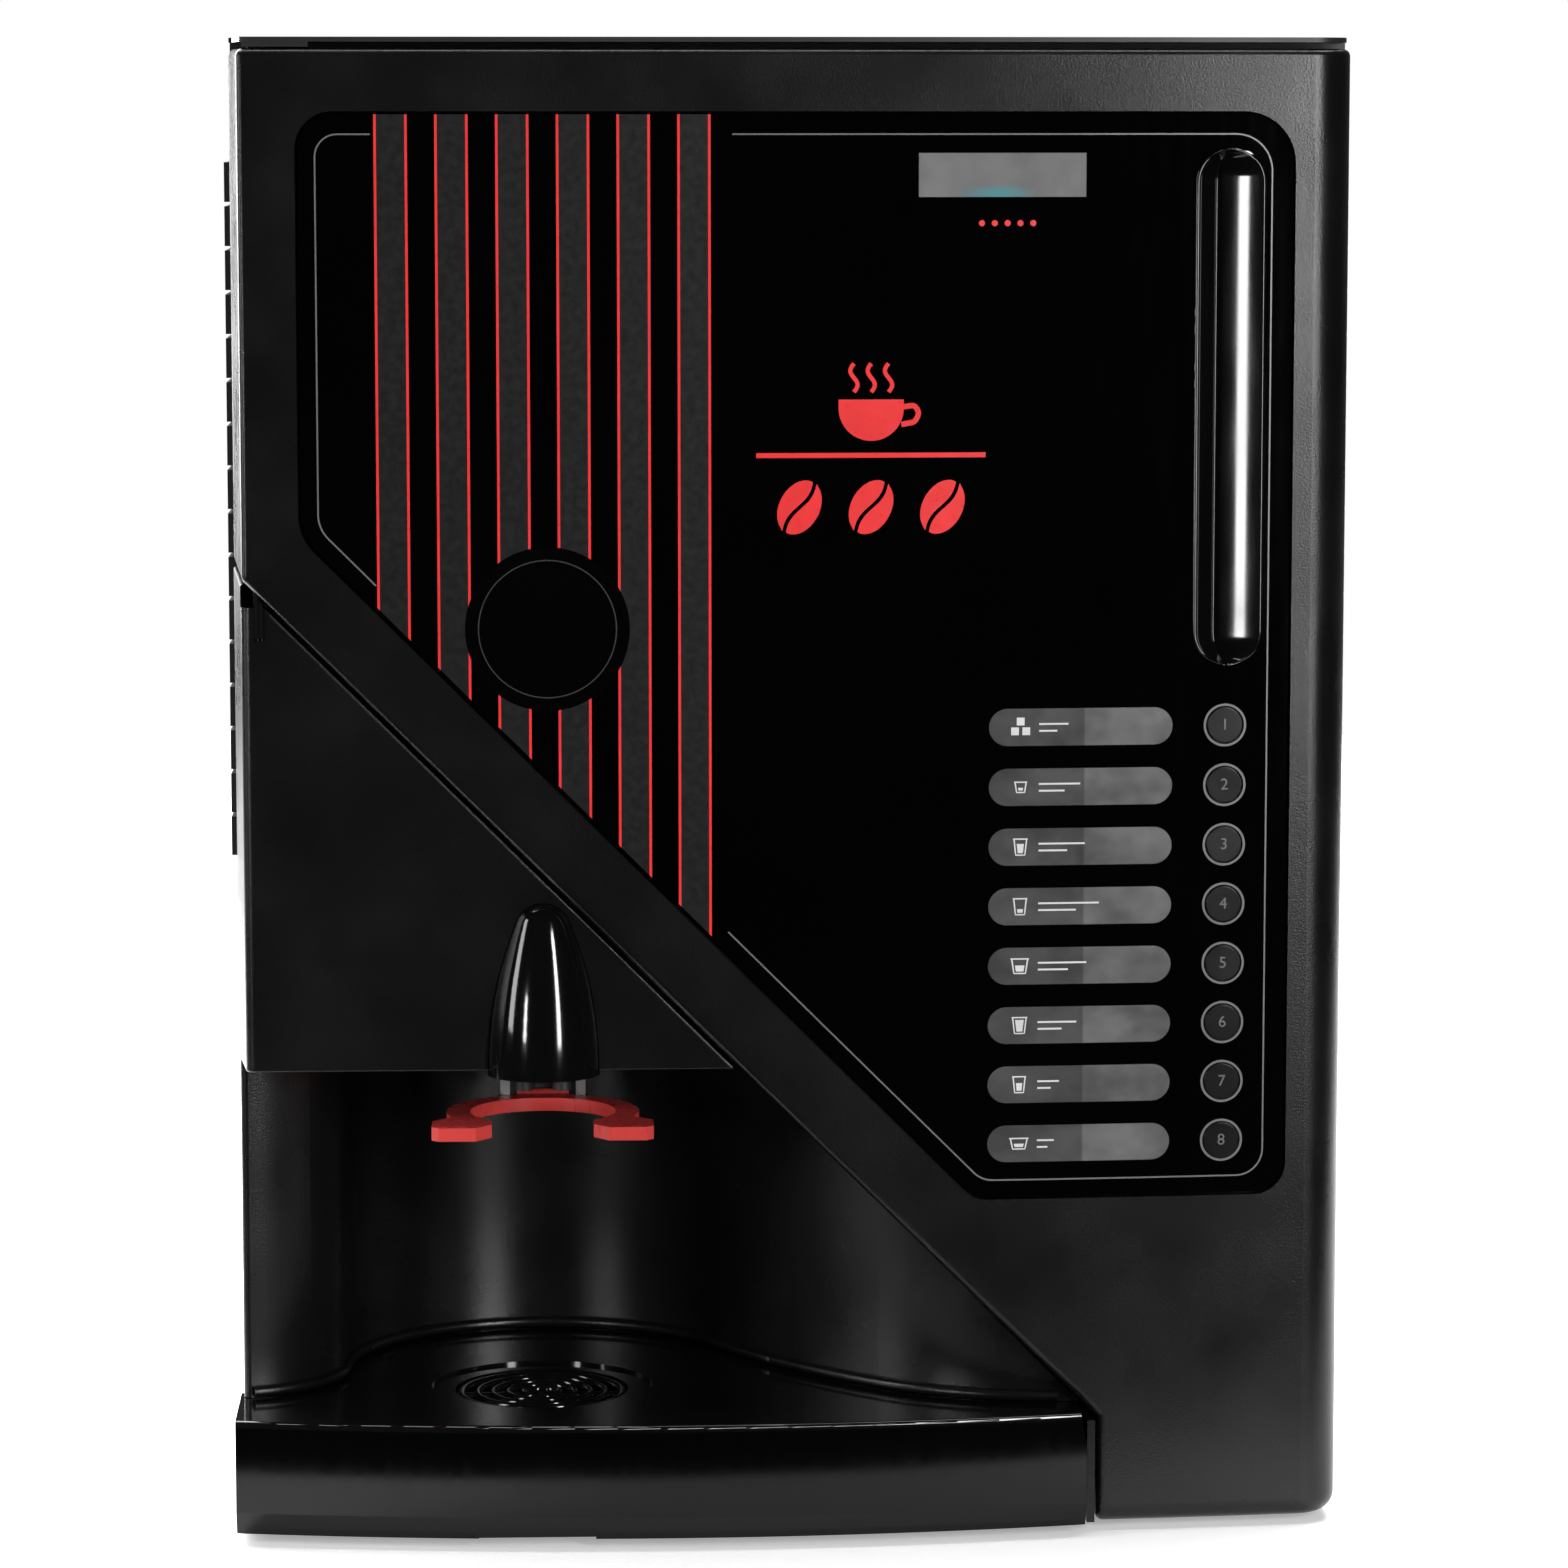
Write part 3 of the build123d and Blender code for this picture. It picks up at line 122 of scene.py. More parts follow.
def area_light(name, place, target, size, power):
    data = bpy.data.lights.new(name, "AREA")
    data.shape = "RECTANGLE"
    data.size, data.size_y = size
    data.energy = power
    light = bpy.data.objects.new(name, data)
    light.location = place
    light.rotation_euler = (Vector(target) - Vector(place)).to_track_quat("-Z", "Y").to_euler()
    light.visible_camera = False
    bpy.context.scene.collection.objects.link(light)


def make_lights():
    area_light("softbox_right", (1.13, -2.10, 0.75), (0.1, -0.2, 0.3), (0.33, 1.3), 40)
    area_light("strip_left", (-1.181, -1.543, 0.37), (0.177, -0.214, 0.4), (0.17, 0.36), 5.5)
    area_light("side_left", (-1.9, -0.75, 0.8), (-0.1, -0.2, 0.35), (0.4, 1.2), 14)
    area_light("rear_left", (-0.95, 0.75, 0.85), (-0.23, -0.2, 0.40), (0.5, 1.2), 36)
    area_light("softbox_top", (0.0, 0.45, 2.3), (0.0, 0.3, 0.0), (2.6, 1.8), 120)
    area_light("softbox_rear", (0.0, 2.0, 2.4), (0.0, 1.9, 0.0), (3.2, 1.6), 130)


FLOOR_FRONT = -0.37  # the pale floor ends a little in front of the tray, so the front stays dark
FLOOR_RADIUS = 1.6


def make_floor():
    mesh = bpy.data.meshes.new("floor")
    floor = bpy.data.objects.new("floor", mesh)
    bpy.context.scene.collection.objects.link(floor)
    shape = bmesh.new()
    bmesh.ops.create_circle(shape, cap_ends=True, segments=96, radius=FLOOR_RADIUS)
    middle = FLOOR_FRONT + FLOOR_RADIUS
    bmesh.ops.translate(shape, verts=shape.verts, vec=(0, middle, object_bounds()[0].z - 0.0002))
    shape.to_mesh(mesh)
    shape.free()
    pale = Finish("floor_pale", (0.93, 0.93, 0.93), rough=0.7)
    pale.mottle(3.0, 0.015)
    pale.set("Emission Color", (1, 1, 1, 1))
    pale.set("Emission Strength", 0.3)
    mesh.materials.append(pale.material)


# ---------------------------------------------------------------- finishes
class Finish:
    """A procedural material on one Principled shader, in the object's own coordinates."""

    def __init__(self, name, color, rough=0.5, metallic=0.0, specular=0.5):
        self.material = bpy.data.materials.new(name)
        self.material.use_nodes = True
        self.tree = self.material.node_tree
        self.shader = self.tree.nodes["Principled BSDF"]
        self.coords = self.tree.nodes.new("ShaderNodeTexCoord")
        self.color = color
        self.rough = rough
        self.set("Base Color", (*color, 1.0))
        self.set("Roughness", rough)
        self.set("Metallic", metallic)
        self.set("Specular IOR Level", specular)
        self.material.diffuse_color = (*color, 1.0)

    def set(self, socket, value):
        self.shader.inputs[socket].default_value = value

    def node(self, kind, **inputs):
        made = self.tree.nodes.new(kind)
        for socket, value in inputs.items():
            made.inputs[socket.replace("_", " ")].default_value = value
        return made

    def link(self, output, target):
        self.tree.links.new(output, target)

    def place(self, stretch=(1, 1, 1), shift=(0, 0, 0)):
        """Object coordinates in metres, stretched and shifted."""
        mapping = self.node("ShaderNodeMapping", Scale=stretch, Location=shift)
        self.link(self.coords.outputs["Object"], mapping.inputs["Vector"])
        return mapping.outputs["Vector"]

    def noise(self, scale, detail=3.0, stretch=(1, 1, 1)):
        made = self.node("ShaderNodeTexNoise", Scale=scale, Detail=detail)
        self.link(self.place(stretch), made.inputs["Vector"])
        return made.outputs["Fac"]

    def remap(self, value, low, high, to_low, to_high):
        made = self.node("ShaderNodeMapRange", From_Min=low, From_Max=high, To_Min=to_low, To_Max=to_high)
        self.link(value, made.inputs["Value"])
        return made.outputs[0]

    def blend(self, factor, first, second):
        """Colour between two colours or colour outputs."""
        made = self.tree.nodes.new("ShaderNodeMix")
        made.data_type = "RGBA"
        self.link(factor, made.inputs[0])
        for socket, value in ((made.inputs[6], first), (made.inputs[7], second)):
            if isinstance(value, tuple):
                socket.default_value = (*value, 1.0)
            else:
                self.link(value, socket)
        return made.outputs[2]

    def mottle(self, scale, amount, detail=3.0, stretch=(1, 1, 1)):
        """Slow variation of the colour's brightness."""
        low = tuple(max(c * (1 - amount), 0) for c in self.color)
        high = tuple(min(c * (1 + amount), 1) for c in self.color)
        factor = self.remap(self.noise(scale, detail, stretch), 0.3, 0.7, 0, 1)
        self.link(self.blend(factor, low, high), self.shader.inputs["Base Color"])

    def uneven(self, scale, amount, stretch=(1, 1, 1)):
        """Variation of the roughness, as from handling and wiping."""
        low, high = self.rough - amount, self.rough + amount
        spread = self.remap(self.noise(scale, 4.0, stretch), 0.3, 0.7, low, high)
        self.link(spread, self.shader.inputs["Roughness"])

    def bump(self, scale, height, detail=2.0, stretch=(1, 1, 1)):
        """Relief of a given height in metres."""
        made = self.node("ShaderNodeBump", Distance=height, Strength=1.0)
        self.link(self.noise(scale, detail, stretch), made.inputs["Height"])
        self.link(made.outputs["Normal"], self.shader.inputs["Normal"])


def grained(name, color, rough, height, specular=0.5):
    """Moulded plastic with a fine spark-eroded grain."""
    finish = Finish(name, color, rough, specular=specular)
    finish.mottle(14.0, 0.25)
    finish.uneven(22.0, 0.05)
    finish.bump(1300.0, height, 4.0)
    return finish.material


def polished(name, color, rough, specular=0.5):
    """Polished plastic with faint waviness and wiping marks."""
    finish = Finish(name, color, rough, specular=specular)
    finish.mottle(9.0, 0.2)
    finish.uneven(160.0, 0.02, (1, 1, 0.15))
    finish.bump(28.0, 0.00002, 1.0)
    return finish.material


def powder_coat(name, color, rough):
    finish = Finish(name, color, rough)
    finish.mottle(11.0, 0.2)
    finish.uneven(30.0, 0.06)
    finish.bump(900.0, 0.00003, 3.0)
    return finish.material


def metal(name, color, rough, grain, stretch=(1, 1, 1), height=0.000004):
    """Bare metal with directional grain."""
    finish = Finish(name, color, rough, metallic=1.0)
    finish.mottle(35.0, 0.12)
    finish.uneven(grain, 0.08, stretch)
    finish.bump(grain, height, 3.0, stretch)
    return finish.material


def spangled(name, color):
    """Zinc coated sheet with its crystal pattern."""
    finish = Finish(name, color, 0.38, metallic=1.0)
    cells = finish.node("ShaderNodeTexVoronoi", Scale=120.0)
    finish.link(finish.place(), cells.inputs["Vector"])
    grey = finish.node("ShaderNodeSeparateColor")
    finish.link(cells.outputs["Color"], grey.inputs[0])
    dark = tuple(c * 0.72 for c in color)
    finish.link(finish.blend(grey.outputs[0], dark, color), finish.shader.inputs["Base Color"])
    finish.link(finish.remap(grey.outputs[1], 0, 1, 0.3, 0.46), finish.shader.inputs["Roughness"])
    finish.bump(700.0, 0.000006)
    return finish.material


def clouded(name, color, rough, scatter):
    """Translucent moulding: scatters light and shows flow marks."""
    finish = Finish(name, color, rough)
    finish.set("Subsurface Weight", scatter)
    finish.set("Subsurface Radius", (0.004, 0.004, 0.0035))
    finish.mottle(18.0, 0.06, stretch=(1, 1, 0.3))
    finish.uneven(60.0, 0.05)
    finish.bump(240.0, 0.00001)
    return finish.material


def circuit_finish():
    """Green solder resist with a pattern of tracks."""
    finish = Finish("circuit_board", (0.012, 0.085, 0.035), 0.3)
    tracks = finish.node("ShaderNodeTexBrick", Scale=160.0, Mortar_Size=0.05)
    tracks.inputs["Color1"].default_value = (0.012, 0.085, 0.035, 1)
    tracks.inputs["Color2"].default_value = (0.016, 0.12, 0.05, 1)
    tracks.inputs["Mortar"].default_value = (0.06, 0.2, 0.07, 1)
    turned = finish.node("ShaderNodeMapping", Rotation=(0, math.radians(90), 0))
    finish.link(finish.coords.outputs["Object"], turned.inputs["Vector"])
    finish.link(turned.outputs["Vector"], tracks.inputs["Vector"])
    finish.link(tracks.outputs["Color"], finish.shader.inputs["Base Color"])
    finish.uneven(90.0, 0.06)
    finish.bump(400.0, 0.00001)
    return finish.material


def label_finish():
    """Backlit label film: mottled grey, darker at its left."""
    finish = Finish("label_film", (0.03, 0.03, 0.031), 0.22)
    x0, x1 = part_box("label_windows")[0].x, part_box("label_windows")[1].x
    split = finish.node("ShaderNodeSeparateXYZ")
    finish.link(finish.coords.outputs["Object"], split.inputs[0])
    step = x0 + 0.52 * (x1 - x0)
    along = finish.remap(split.outputs["X"], step - 0.0004, step + 0.0004, 0.30, 0.62)
    total = finish.tree.nodes.new("ShaderNodeMath")
    total.operation = "MULTIPLY_ADD"
    finish.link(finish.remap(finish.noise(48.0, 2.5, (1, 1, 1.4)), 0.3, 0.7, 0.55, 1.35), total.inputs[0])
    finish.link(along, total.inputs[1])
    total.inputs[2].default_value = 0.0
    glow = finish.blend(total.outputs[0], (0.010, 0.010, 0.011), (0.125, 0.125, 0.128))
    finish.link(glow, finish.shader.inputs["Base Color"])
    finish.link(glow, finish.shader.inputs["Emission Color"])
    finish.set("Emission Strength", 0.55)
    finish.uneven(200.0, 0.04)
    return finish.material


def display_finish():
    """Grey liquid crystal window with a faint teal glow at its lower edge."""
    finish = Finish("display_glass", (0.11, 0.11, 0.112), 0.12)
    low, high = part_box("display_lens")
    middle = (low + high) / 2
    centre = Vector((middle.x - 0.002, middle.y, low.z + 0.0015))
    span = Vector((0.017, 0.05, 0.0035))
    stretch = tuple(1 / s for s in span)
    shift = tuple(-c / s for c, s in zip(centre, span))
    ball = finish.tree.nodes.new("ShaderNodeTexGradient")
    ball.gradient_type = "SPHERICAL"
    finish.link(finish.place(stretch, shift), ball.inputs["Vector"])
    cloud = finish.remap(finish.noise(60.0), 0.3, 0.7, 0, 1)
    grey = finish.blend(cloud, (0.10, 0.10, 0.102), (0.125, 0.126, 0.128))
    tint = finish.blend(finish.remap(ball.outputs["Fac"], 0.0, 0.9, 0, 1), grey, (0.05, 0.17, 0.19))
    finish.link(tint, finish.shader.inputs["Base Color"])
    finish.link(tint, finish.shader.inputs["Emission Color"])
    finish.set("Emission Strength", 0.75)
    finish.uneven(120.0, 0.03)
    return finish.material


def printed(name, color, rough=0.3, glow=0.0):
    """Screen printing ink."""
    finish = Finish(name, color, rough)
    finish.mottle(45.0, 0.12)
    finish.uneven(300.0, 0.04)
    if glow:
        finish.set("Emission Color", (*color, 1.0))
        finish.set("Emission Strength", glow)
    return finish.material


def make_finishes():
    black = (0.011, 0.011, 0.012)
    return {
        "textured_plastic": grained("textured_plastic", (0.0042, 0.0042, 0.0045), 0.28, 0.00008, 0.33),
        "gloss_plastic": polished("gloss_plastic", (0.003, 0.003, 0.0034), 0.09),
        "printed_panel": polished("printed_panel", (0.0007, 0.0007, 0.0009), 0.05, 0.35),
        "button_plastic": grained("button_plastic", (0.002, 0.002, 0.0022), 0.25, 0.00001, 0.3),
        "label_film": label_finish(),
        "display_glass": display_finish(),
        "red_plastic": polished("red_plastic", (0.62, 0.055, 0.050), 0.28),
        "painted_steel": powder_coat("painted_steel", black, 0.46),
        "zinc_steel": spangled("zinc_steel", (0.62, 0.63, 0.64)),
        "stainless": metal("stainless", (0.60, 0.59, 0.57), 0.26, 260.0, (1, 1, 0.02)),
        "bright_metal": metal("bright_metal", (0.72, 0.72, 0.73), 0.2, 320.0),
        "rubber": grained("rubber", (0.014, 0.014, 0.014), 0.75, 0.0001, 0.3),
        "canister_plastic": clouded("canister_plastic", (0.70, 0.70, 0.66), 0.33, 0.35),
        "white_plastic": clouded("white_plastic", (0.78, 0.78, 0.75), 0.38, 0.12),
        "black_plastic": grained("black_plastic", (0.015, 0.015, 0.016), 0.5, 0.00003),
        "silicone": clouded("silicone", (0.62, 0.60, 0.55), 0.4, 0.5),
        "motor_steel": metal("motor_steel", (0.42, 0.42, 0.43), 0.34, 300.0, (1, 0.05, 1)),
        "circuit_board": circuit_finish(),
        "copper_pipe": metal("copper_pipe", (0.72, 0.36, 0.22), 0.28, 200.0),
        "brass": metal("brass", (0.70, 0.53, 0.24), 0.27, 240.0),
    }


def paint(node, material):
    for place in nodes[node].material_slots:
        place.link = "OBJECT"
        place.material = material


def paint_frame(finishes):
    for part in frame["record"]["subparts"]:
        paint(part["node"], finishes[part["material_slot"]])
    paint("hinge_pins", grained("blackened_steel", (0.0015, 0.0015, 0.0016), 0.6, 0.00002, 0.06))
    paint("drip_tray", polished("tray_plastic", (0.0008, 0.0008, 0.0009), 0.1, 0.25))


# ---------------------------------------------------------------- printed graphics
class Front:
    """The front surface of some CAD nodes, on which films are laid."""

    def __init__(self, *names):
        graph = bpy.context.evaluated_depsgraph_get()
        self.trees = [BVHTree.FromObject(nodes[name], graph) for name in names]

    def y_at(self, x, z):
        hits = [tree.ray_cast(Vector((x, -1.0, z)), Vector((0, 1, 0)))[0] for tree in self.trees]
        found = [hit.y for hit in hits if hit is not None]
        return min(found) if found else None


def lay(name, shape, front, body, material, lift=0.08 * MM):
    """Lays a flat bmesh in the (x, z) plane on a front surface as a film of ink."""
    xs = [v.co.x for v in shape.verts]
    cut = min(xs) + 5 * MM
    while cut < max(xs):
        geometry = [*shape.verts, *shape.edges, *shape.faces]
        bmesh.ops.bisect_plane(shape, geom=geometry, plane_co=(cut, 0, 0), plane_no=(1, 0, 0))
        cut += 5 * MM
    level = None
    for v in shape.verts:
        found = front.y_at(v.co.x, v.co.z)
        level = found if found is not None else level
        v.co.y = level - lift
    mesh = bpy.data.meshes.new(name)
    shape.to_mesh(mesh)
    shape.free()
    mesh.materials.append(material)
    piece = bpy.data.objects.new(name, mesh)
    bpy.context.scene.collection.objects.link(piece)
    skin = piece.modifiers.new("film", "SOLIDIFY")
    skin.thickness = 0.04 * MM
    skin.offset = 0.0
    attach(piece, body)
    return piece


def filled(shape, loop):
    """Adds one filled outline of (x, z) points."""
    verts = [shape.verts.new((x, 0, z)) for x, z in loop]
    shape.faces.new(verts)


def band(shape, points, width, closed=False):
    """Adds a ribbon of even width along (x, z) points."""
    count = len(points)
    sides = []
    for i, (x, z) in enumerate(points):
        before = points[i - 1] if closed or i else points[i]
        after = points[(i + 1) % count] if closed or i < count - 1 else points[i]
        dx, dz = after[0] - before[0], after[1] - before[1]
        length = math.hypot(dx, dz)
        nx, nz = -dz / length * width / 2, dx / length * width / 2
        sides.append((shape.verts.new((x + nx, 0, z + nz)), shape.verts.new((x - nx, 0, z - nz))))
    pairs = list(zip(sides, sides[1:] + sides[:1])) if closed else list(zip(sides, sides[1:]))
    for (a, b), (c, d) in pairs:
        shape.faces.new((a, b, d, c))


def arc(x, z, radius, start, end, steps=16):
    """Points on a circle between two angles in degrees."""
    angles = [math.radians(start + (end - start) * k / steps) for k in range(steps + 1)]
    return [(x + radius * math.cos(a), z + radius * math.sin(a)) for a in angles]


def circle(x, z, radius, steps=72):
    return arc(x, z, radius, 0, 360 * (steps - 1) / steps, steps - 1)


def ellipse(x, z, half_x, half_z, turn=0.0, steps=32):
    """Points on an ellipse turned by an angle in degrees."""
    cos_t, sin_t = math.cos(math.radians(turn)), math.sin(math.radians(turn))
    points = []
    for k in range(steps):
        a = 2 * math.pi * k / steps
        u, v = half_x * math.cos(a), half_z * math.sin(a)
        points.append((x + u * cos_t - v * sin_t, z + u * sin_t + v * cos_t))
    return points


def rounded(points, radii, steps=14):
    """Open path through points, with an arc at each inner point."""
    path = [points[0]]
    for i in range(1, len(points) - 1):
        corner = Vector(points[i])
        back = (Vector(points[i - 1]) - corner).normalized()
        ahead = (Vector(points[i + 1]) - corner).normalized()
        half = back.angle(ahead) / 2
        reach = radii[i - 1] / math.tan(half)
        centre = corner + (back + ahead).normalized() * radii[i - 1] / math.sin(half)
        start = corner + back * reach - centre
        end = corner + ahead * reach - centre
        turn = start.angle_signed(end)
        for k in range(steps + 1):
            a = -turn * k / steps
            path.append(tuple(centre + Vector((
                start.x * math.cos(a) - start.y * math.sin(a),
                start.x * math.sin(a) + start.y * math.cos(a),
            ))))
    path.append(points[-1])
    return path


def dense(path, step=6 * MM):
    """The same path with more points on its long runs."""
    points = []
    for (x0, z0), (x1, z1) in zip(path, path[1:]):
        count = max(1, round(math.hypot(x1 - x0, z1 - z0) / step))
        points += [(x0 + (x1 - x0) * k / count, z0 + (z1 - z0) * k / count) for k in range(count)]
    return points + [path[-1]]


PANEL_FLANGE = 7 * MM  # of the panel's box, hidden behind the door's moulding on each side
PANEL_SLANT = 216 * MM  # x + z along the panel's slanted edge
STRIPES = 6
STRIPE_X = 30.4 * MM  # first stripe from the panel's left edge
STRIPE_PITCH = 24.3 * MM
STRIPE_WIDTH = 13.4 * MM
RED_LINE = 1.05 * MM
SLANT = 217.3 * MM  # x + z along the lower end of the stripes
DISC = (-100 * MM, 377 * MM)
DISC_RADIUS = 33.3 * MM
RING_RADIUS = 27.9 * MM
RING_WIDTH = 0.5 * MM
PIN_INSET = (6.9 * MM, 8.5 * MM, 6.9 * MM, 7.9 * MM)  # left, right, bottom, top
PIN_WIDTH = 0.65 * MM


def stripes(front, grey, red):
    """Six grey stripes edged with red lines, from the panel's top to its slanted edge."""
    low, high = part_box("front_panel")
    left, top = low.x + PANEL_FLANGE, high.z - PANEL_FLANGE
    ink, lines = bmesh.new(), bmesh.new()
    for i in range(STRIPES):
        x0 = left + STRIPE_X + STRIPE_PITCH * i
        x1 = x0 + STRIPE_WIDTH
        edge_a, edge_b = x0 + RED_LINE, x1 - RED_LINE
        filled(ink, [(edge_a, SLANT - edge_a), (edge_b, SLANT - edge_b), (edge_b, top), (edge_a, top)])
        for a, b in ((x0, edge_a), (edge_b, x1)):
            filled(lines, [(a, SLANT - a), (b, SLANT - b), (b, top), (a, top)])
    lay("stripe_fields", ink, front, "door", grey, 0.06 * MM)
    lay("stripe_lines", lines, front, "door", red)


def blank_disc(front, black, line):
    """Black disc that interrupts the stripes, with a thin ring."""
    plate, ring = bmesh.new(), bmesh.new()
    filled(plate, circle(*DISC, DISC_RADIUS))
    band(ring, circle(*DISC, RING_RADIUS), RING_WIDTH, closed=True)
    lay("disc_plate", plate, front, "door", black, 0.16 * MM)
    lay("disc_ring", ring, front, "door", line, 0.22 * MM)


def pinstripes(front, line):
    """Thin line inside the panel's outline, interrupted by the stripes."""
    low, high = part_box("front_panel")
    left, right = low.x + PANEL_FLANGE + PIN_INSET[0], high.x - PANEL_FLANGE - PIN_INSET[1]
    bottom, top = low.z + PANEL_FLANGE + PIN_INSET[2], high.z - PANEL_FLANGE - PIN_INSET[3]
    slant = PANEL_SLANT + PIN_INSET[0] * math.sqrt(2)
    short = [(-170 * MM, top), (left, top), (left, slant - left), (-169 * MM, slant + 169 * MM)]
    long = [
        (-25 * MM, top),
        (right, top),
        (right, bottom),
        (slant - bottom, bottom),
        (-27 * MM, slant + 27 * MM),
    ]
    shape = bmesh.new()
    band(shape, dense(rounded(short, [9 * MM, 14 * MM])), PIN_WIDTH)
    band(shape, dense(rounded(long, [15 * MM, 11 * MM, 11 * MM])), PIN_WIDTH)
    lay("pinstripe", shape, front, "door", line)


SIGN = (31 * MM, 447 * MM)  # middle of the sign's line
SIGN_HALF = 46.5 * MM
CUP_RADIUS = 13.2 * MM
CUP_HANDLE = ((13.0, 14.5), (17.5, 15.2), (19.6, 12.0), (17.6, 8.4), (12.2, 7.4))  # from the cup's foot, mm
BEAN_PITCH = 29.0 * MM
BEAN_DROP = 21 * MM
BEAN_HALF = (8.2 * MM, 11.6 * MM)
BEAN_TURN = 28


def cup_sign(front, red):
    """Red cup with steam above a line."""
    x, line_z = SIGN
    shape = bmesh.new()
    foot = line_z + 5.0 * MM
    rim = foot + 17.5 * MM
    bowl = arc(x, foot + 14 * MM, CUP_RADIUS, 180, 360, 28)
    filled(shape, [(x - CUP_RADIUS, rim), *bowl, (x + CUP_RADIUS, rim)])
    handle = [(x + dx * MM, foot + dz * MM) for dx, dz in CUP_HANDLE]
    band(shape, dense(rounded(handle, [2.2 * MM, 3.0 * MM, 2.6 * MM], 6), 2 * MM), 2.2 * MM)
    for dx in (-7.0, 0.0, 7.0):
        curl = [
            (x + (dx + 1.5 * math.sin(k / 10 * 2 * math.pi)) * MM, foot + (20.5 + 1.15 * k) * MM)
            for k in range(11)
        ]
        band(shape, curl, 1.7 * MM)
    band(shape, dense([(x - SIGN_HALF, line_z), (x + SIGN_HALF, line_z)]), 2.0 * MM)
    lay("cup_sign", shape, front, "door", red)


def half_bean(centre, side):
    """Outline of one half of a coffee bean, from its outer curve to its wavy crease."""
    lean = math.radians(BEAN_TURN)
    axis = Vector((math.sin(lean), math.cos(lean)))
    across = Vector((axis.y, -axis.x))
    kept = []
    for point in ellipse(centre.x, centre.y, *BEAN_HALF, -BEAN_TURN, 48):
        offset = Vector(point) - centre
        along, off = offset.dot(axis), offset.dot(across)
        crease = (0.9 + 1.4 * math.sin(along / BEAN_HALF[1] * 1.6) * side) * MM
        if off * side > 0.3 * MM:
            kept.append((along, max(off * side, crease)))
    kept.sort()
    outline = [centre + axis * a + across * o * side for a, o in kept]
    lowest, highest = kept[0][0], kept[-1][0]
    for k in range(13):
        a = highest + (lowest - highest) * k / 12
        o = (0.8 * side + 1.7 * math.sin(a / BEAN_HALF[1] * 2.6)) * MM
        outline.append(centre + axis * a + across * o)
    return [tuple(p) for p in outline]


def bean_row(front, red):
    """Three red beans below the sign's line."""
    shape = bmesh.new()
    for step in (-1, 0, 1):
        centre = Vector((SIGN[0] + step * BEAN_PITCH, SIGN[1] - BEAN_DROP))
        for side in (-1, 1):
            filled(shape, half_bean(centre, side))
    lay("bean_row", shape, front, "door", red)


def display_dots(front, red):
    """Row of small red dots below the display."""
    low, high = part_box("display_lens")
    shape = bmesh.new()
    middle = (low.x + high.x) / 2 + 2 * MM
    for k in range(-2, 3):
        filled(shape, circle(middle + 5.2 * k * MM, low.z - 10.5 * MM, 1.25 * MM, 24))
    lay("display_dots", shape, front, "door", red)


ICON_LINE = 0.55 * MM
ICON_TAPER = 0.72  # width of a cup's foot, of its rim
LABEL_MARKS = (  # cup's width, height and filling, and length of the bar; the first label shows sugar instead
    (0.0, 0.0, 0.0, 12.0),
    (4.6, 4.2, 0.45, 17.0),
    (5.2, 6.6, 0.7, 19.0),
    (5.2, 6.6, 0.35, 25.0),
    (6.6, 6.0, 0.55, 20.0),
    (5.6, 6.6, 0.85, 16.0),
    (5.0, 6.6, 0.6, 9.0),
    (7.0, 4.4, 0.5, 7.0),
)


def cup_icon(shape, x, z, width, height, level):
    """Outline of a tapered cup with a filling line."""
    w, h = width / 2, height / 2
    foot = w * ICON_TAPER
    outline = [(x - w, z + h), (x - foot, z - h), (x + foot, z - h), (x + w, z + h)]
    rim = [(x - w * 1.15, z + h), (x + w * 1.15, z + h)]
    for line in (outline, rim):
        band(shape, dense(line, 1.5 * MM), ICON_LINE)
    top, bottom = z - h + height * level, z - h + 0.8 * MM
    low = foot - 0.8 * MM
    high = w * (ICON_TAPER + (1 - ICON_TAPER) * level) - 0.9 * MM
    filled(shape, [(x - low, bottom), (x + low, bottom), (x + high, top), (x - high, top)])


def sugar_icon(shape, x, z):
    """Three stacked cubes."""
    half = 1.6 * MM
    for dx, dz in ((0.6, -1.6), (5.2, -1.6), (2.9, 2.4)):
        cx, cz = x + dx * MM, z + dz * MM
        signs = ((-1, -1), (1, -1), (1, 1), (-1, 1))
        filled(shape, [(cx + u * half, cz + v * half) for u, v in signs])


def pill_icons(front, ink):
    """A generic pictogram and two bars for each selection label."""
    x0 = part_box("label_windows")[0].x + 10 * MM
    bar_x = x0 + 10.5 * MM
    shape = bmesh.new()
    for i, (width, height, level, bar) in enumerate(LABEL_MARKS):
        low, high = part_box(f"button_{i + 1}")
        z = (low.z + high.z) / 2
        if width:
            cup_icon(shape, x0 + 3 * MM, z, width * MM, height * MM, level)
        else:
            sugar_icon(shape, x0, z)
        for row, share in ((1.3, 1.0), (-1.5, 0.62)):
            level_z = z + row * MM
            bar_line = [(bar_x, level_z), (bar_x + bar * share * MM, level_z)]
            band(shape, dense(bar_line, 3 * MM), 0.75 * MM)
    lay("label_icons", shape, front, "door", ink, 0.06 * MM)


def button_rings(front, line):
    """Thin ring printed round each button."""
    shape = bmesh.new()
    for i in range(8):
        low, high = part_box(f"button_{i + 1}")
        middle = (low + high) / 2
        band(shape, circle(button_centre(i).x, middle.z, 8.35 * MM, 64), 0.95 * MM, closed=True)
    lay("button_rings", shape, front, "door", line)


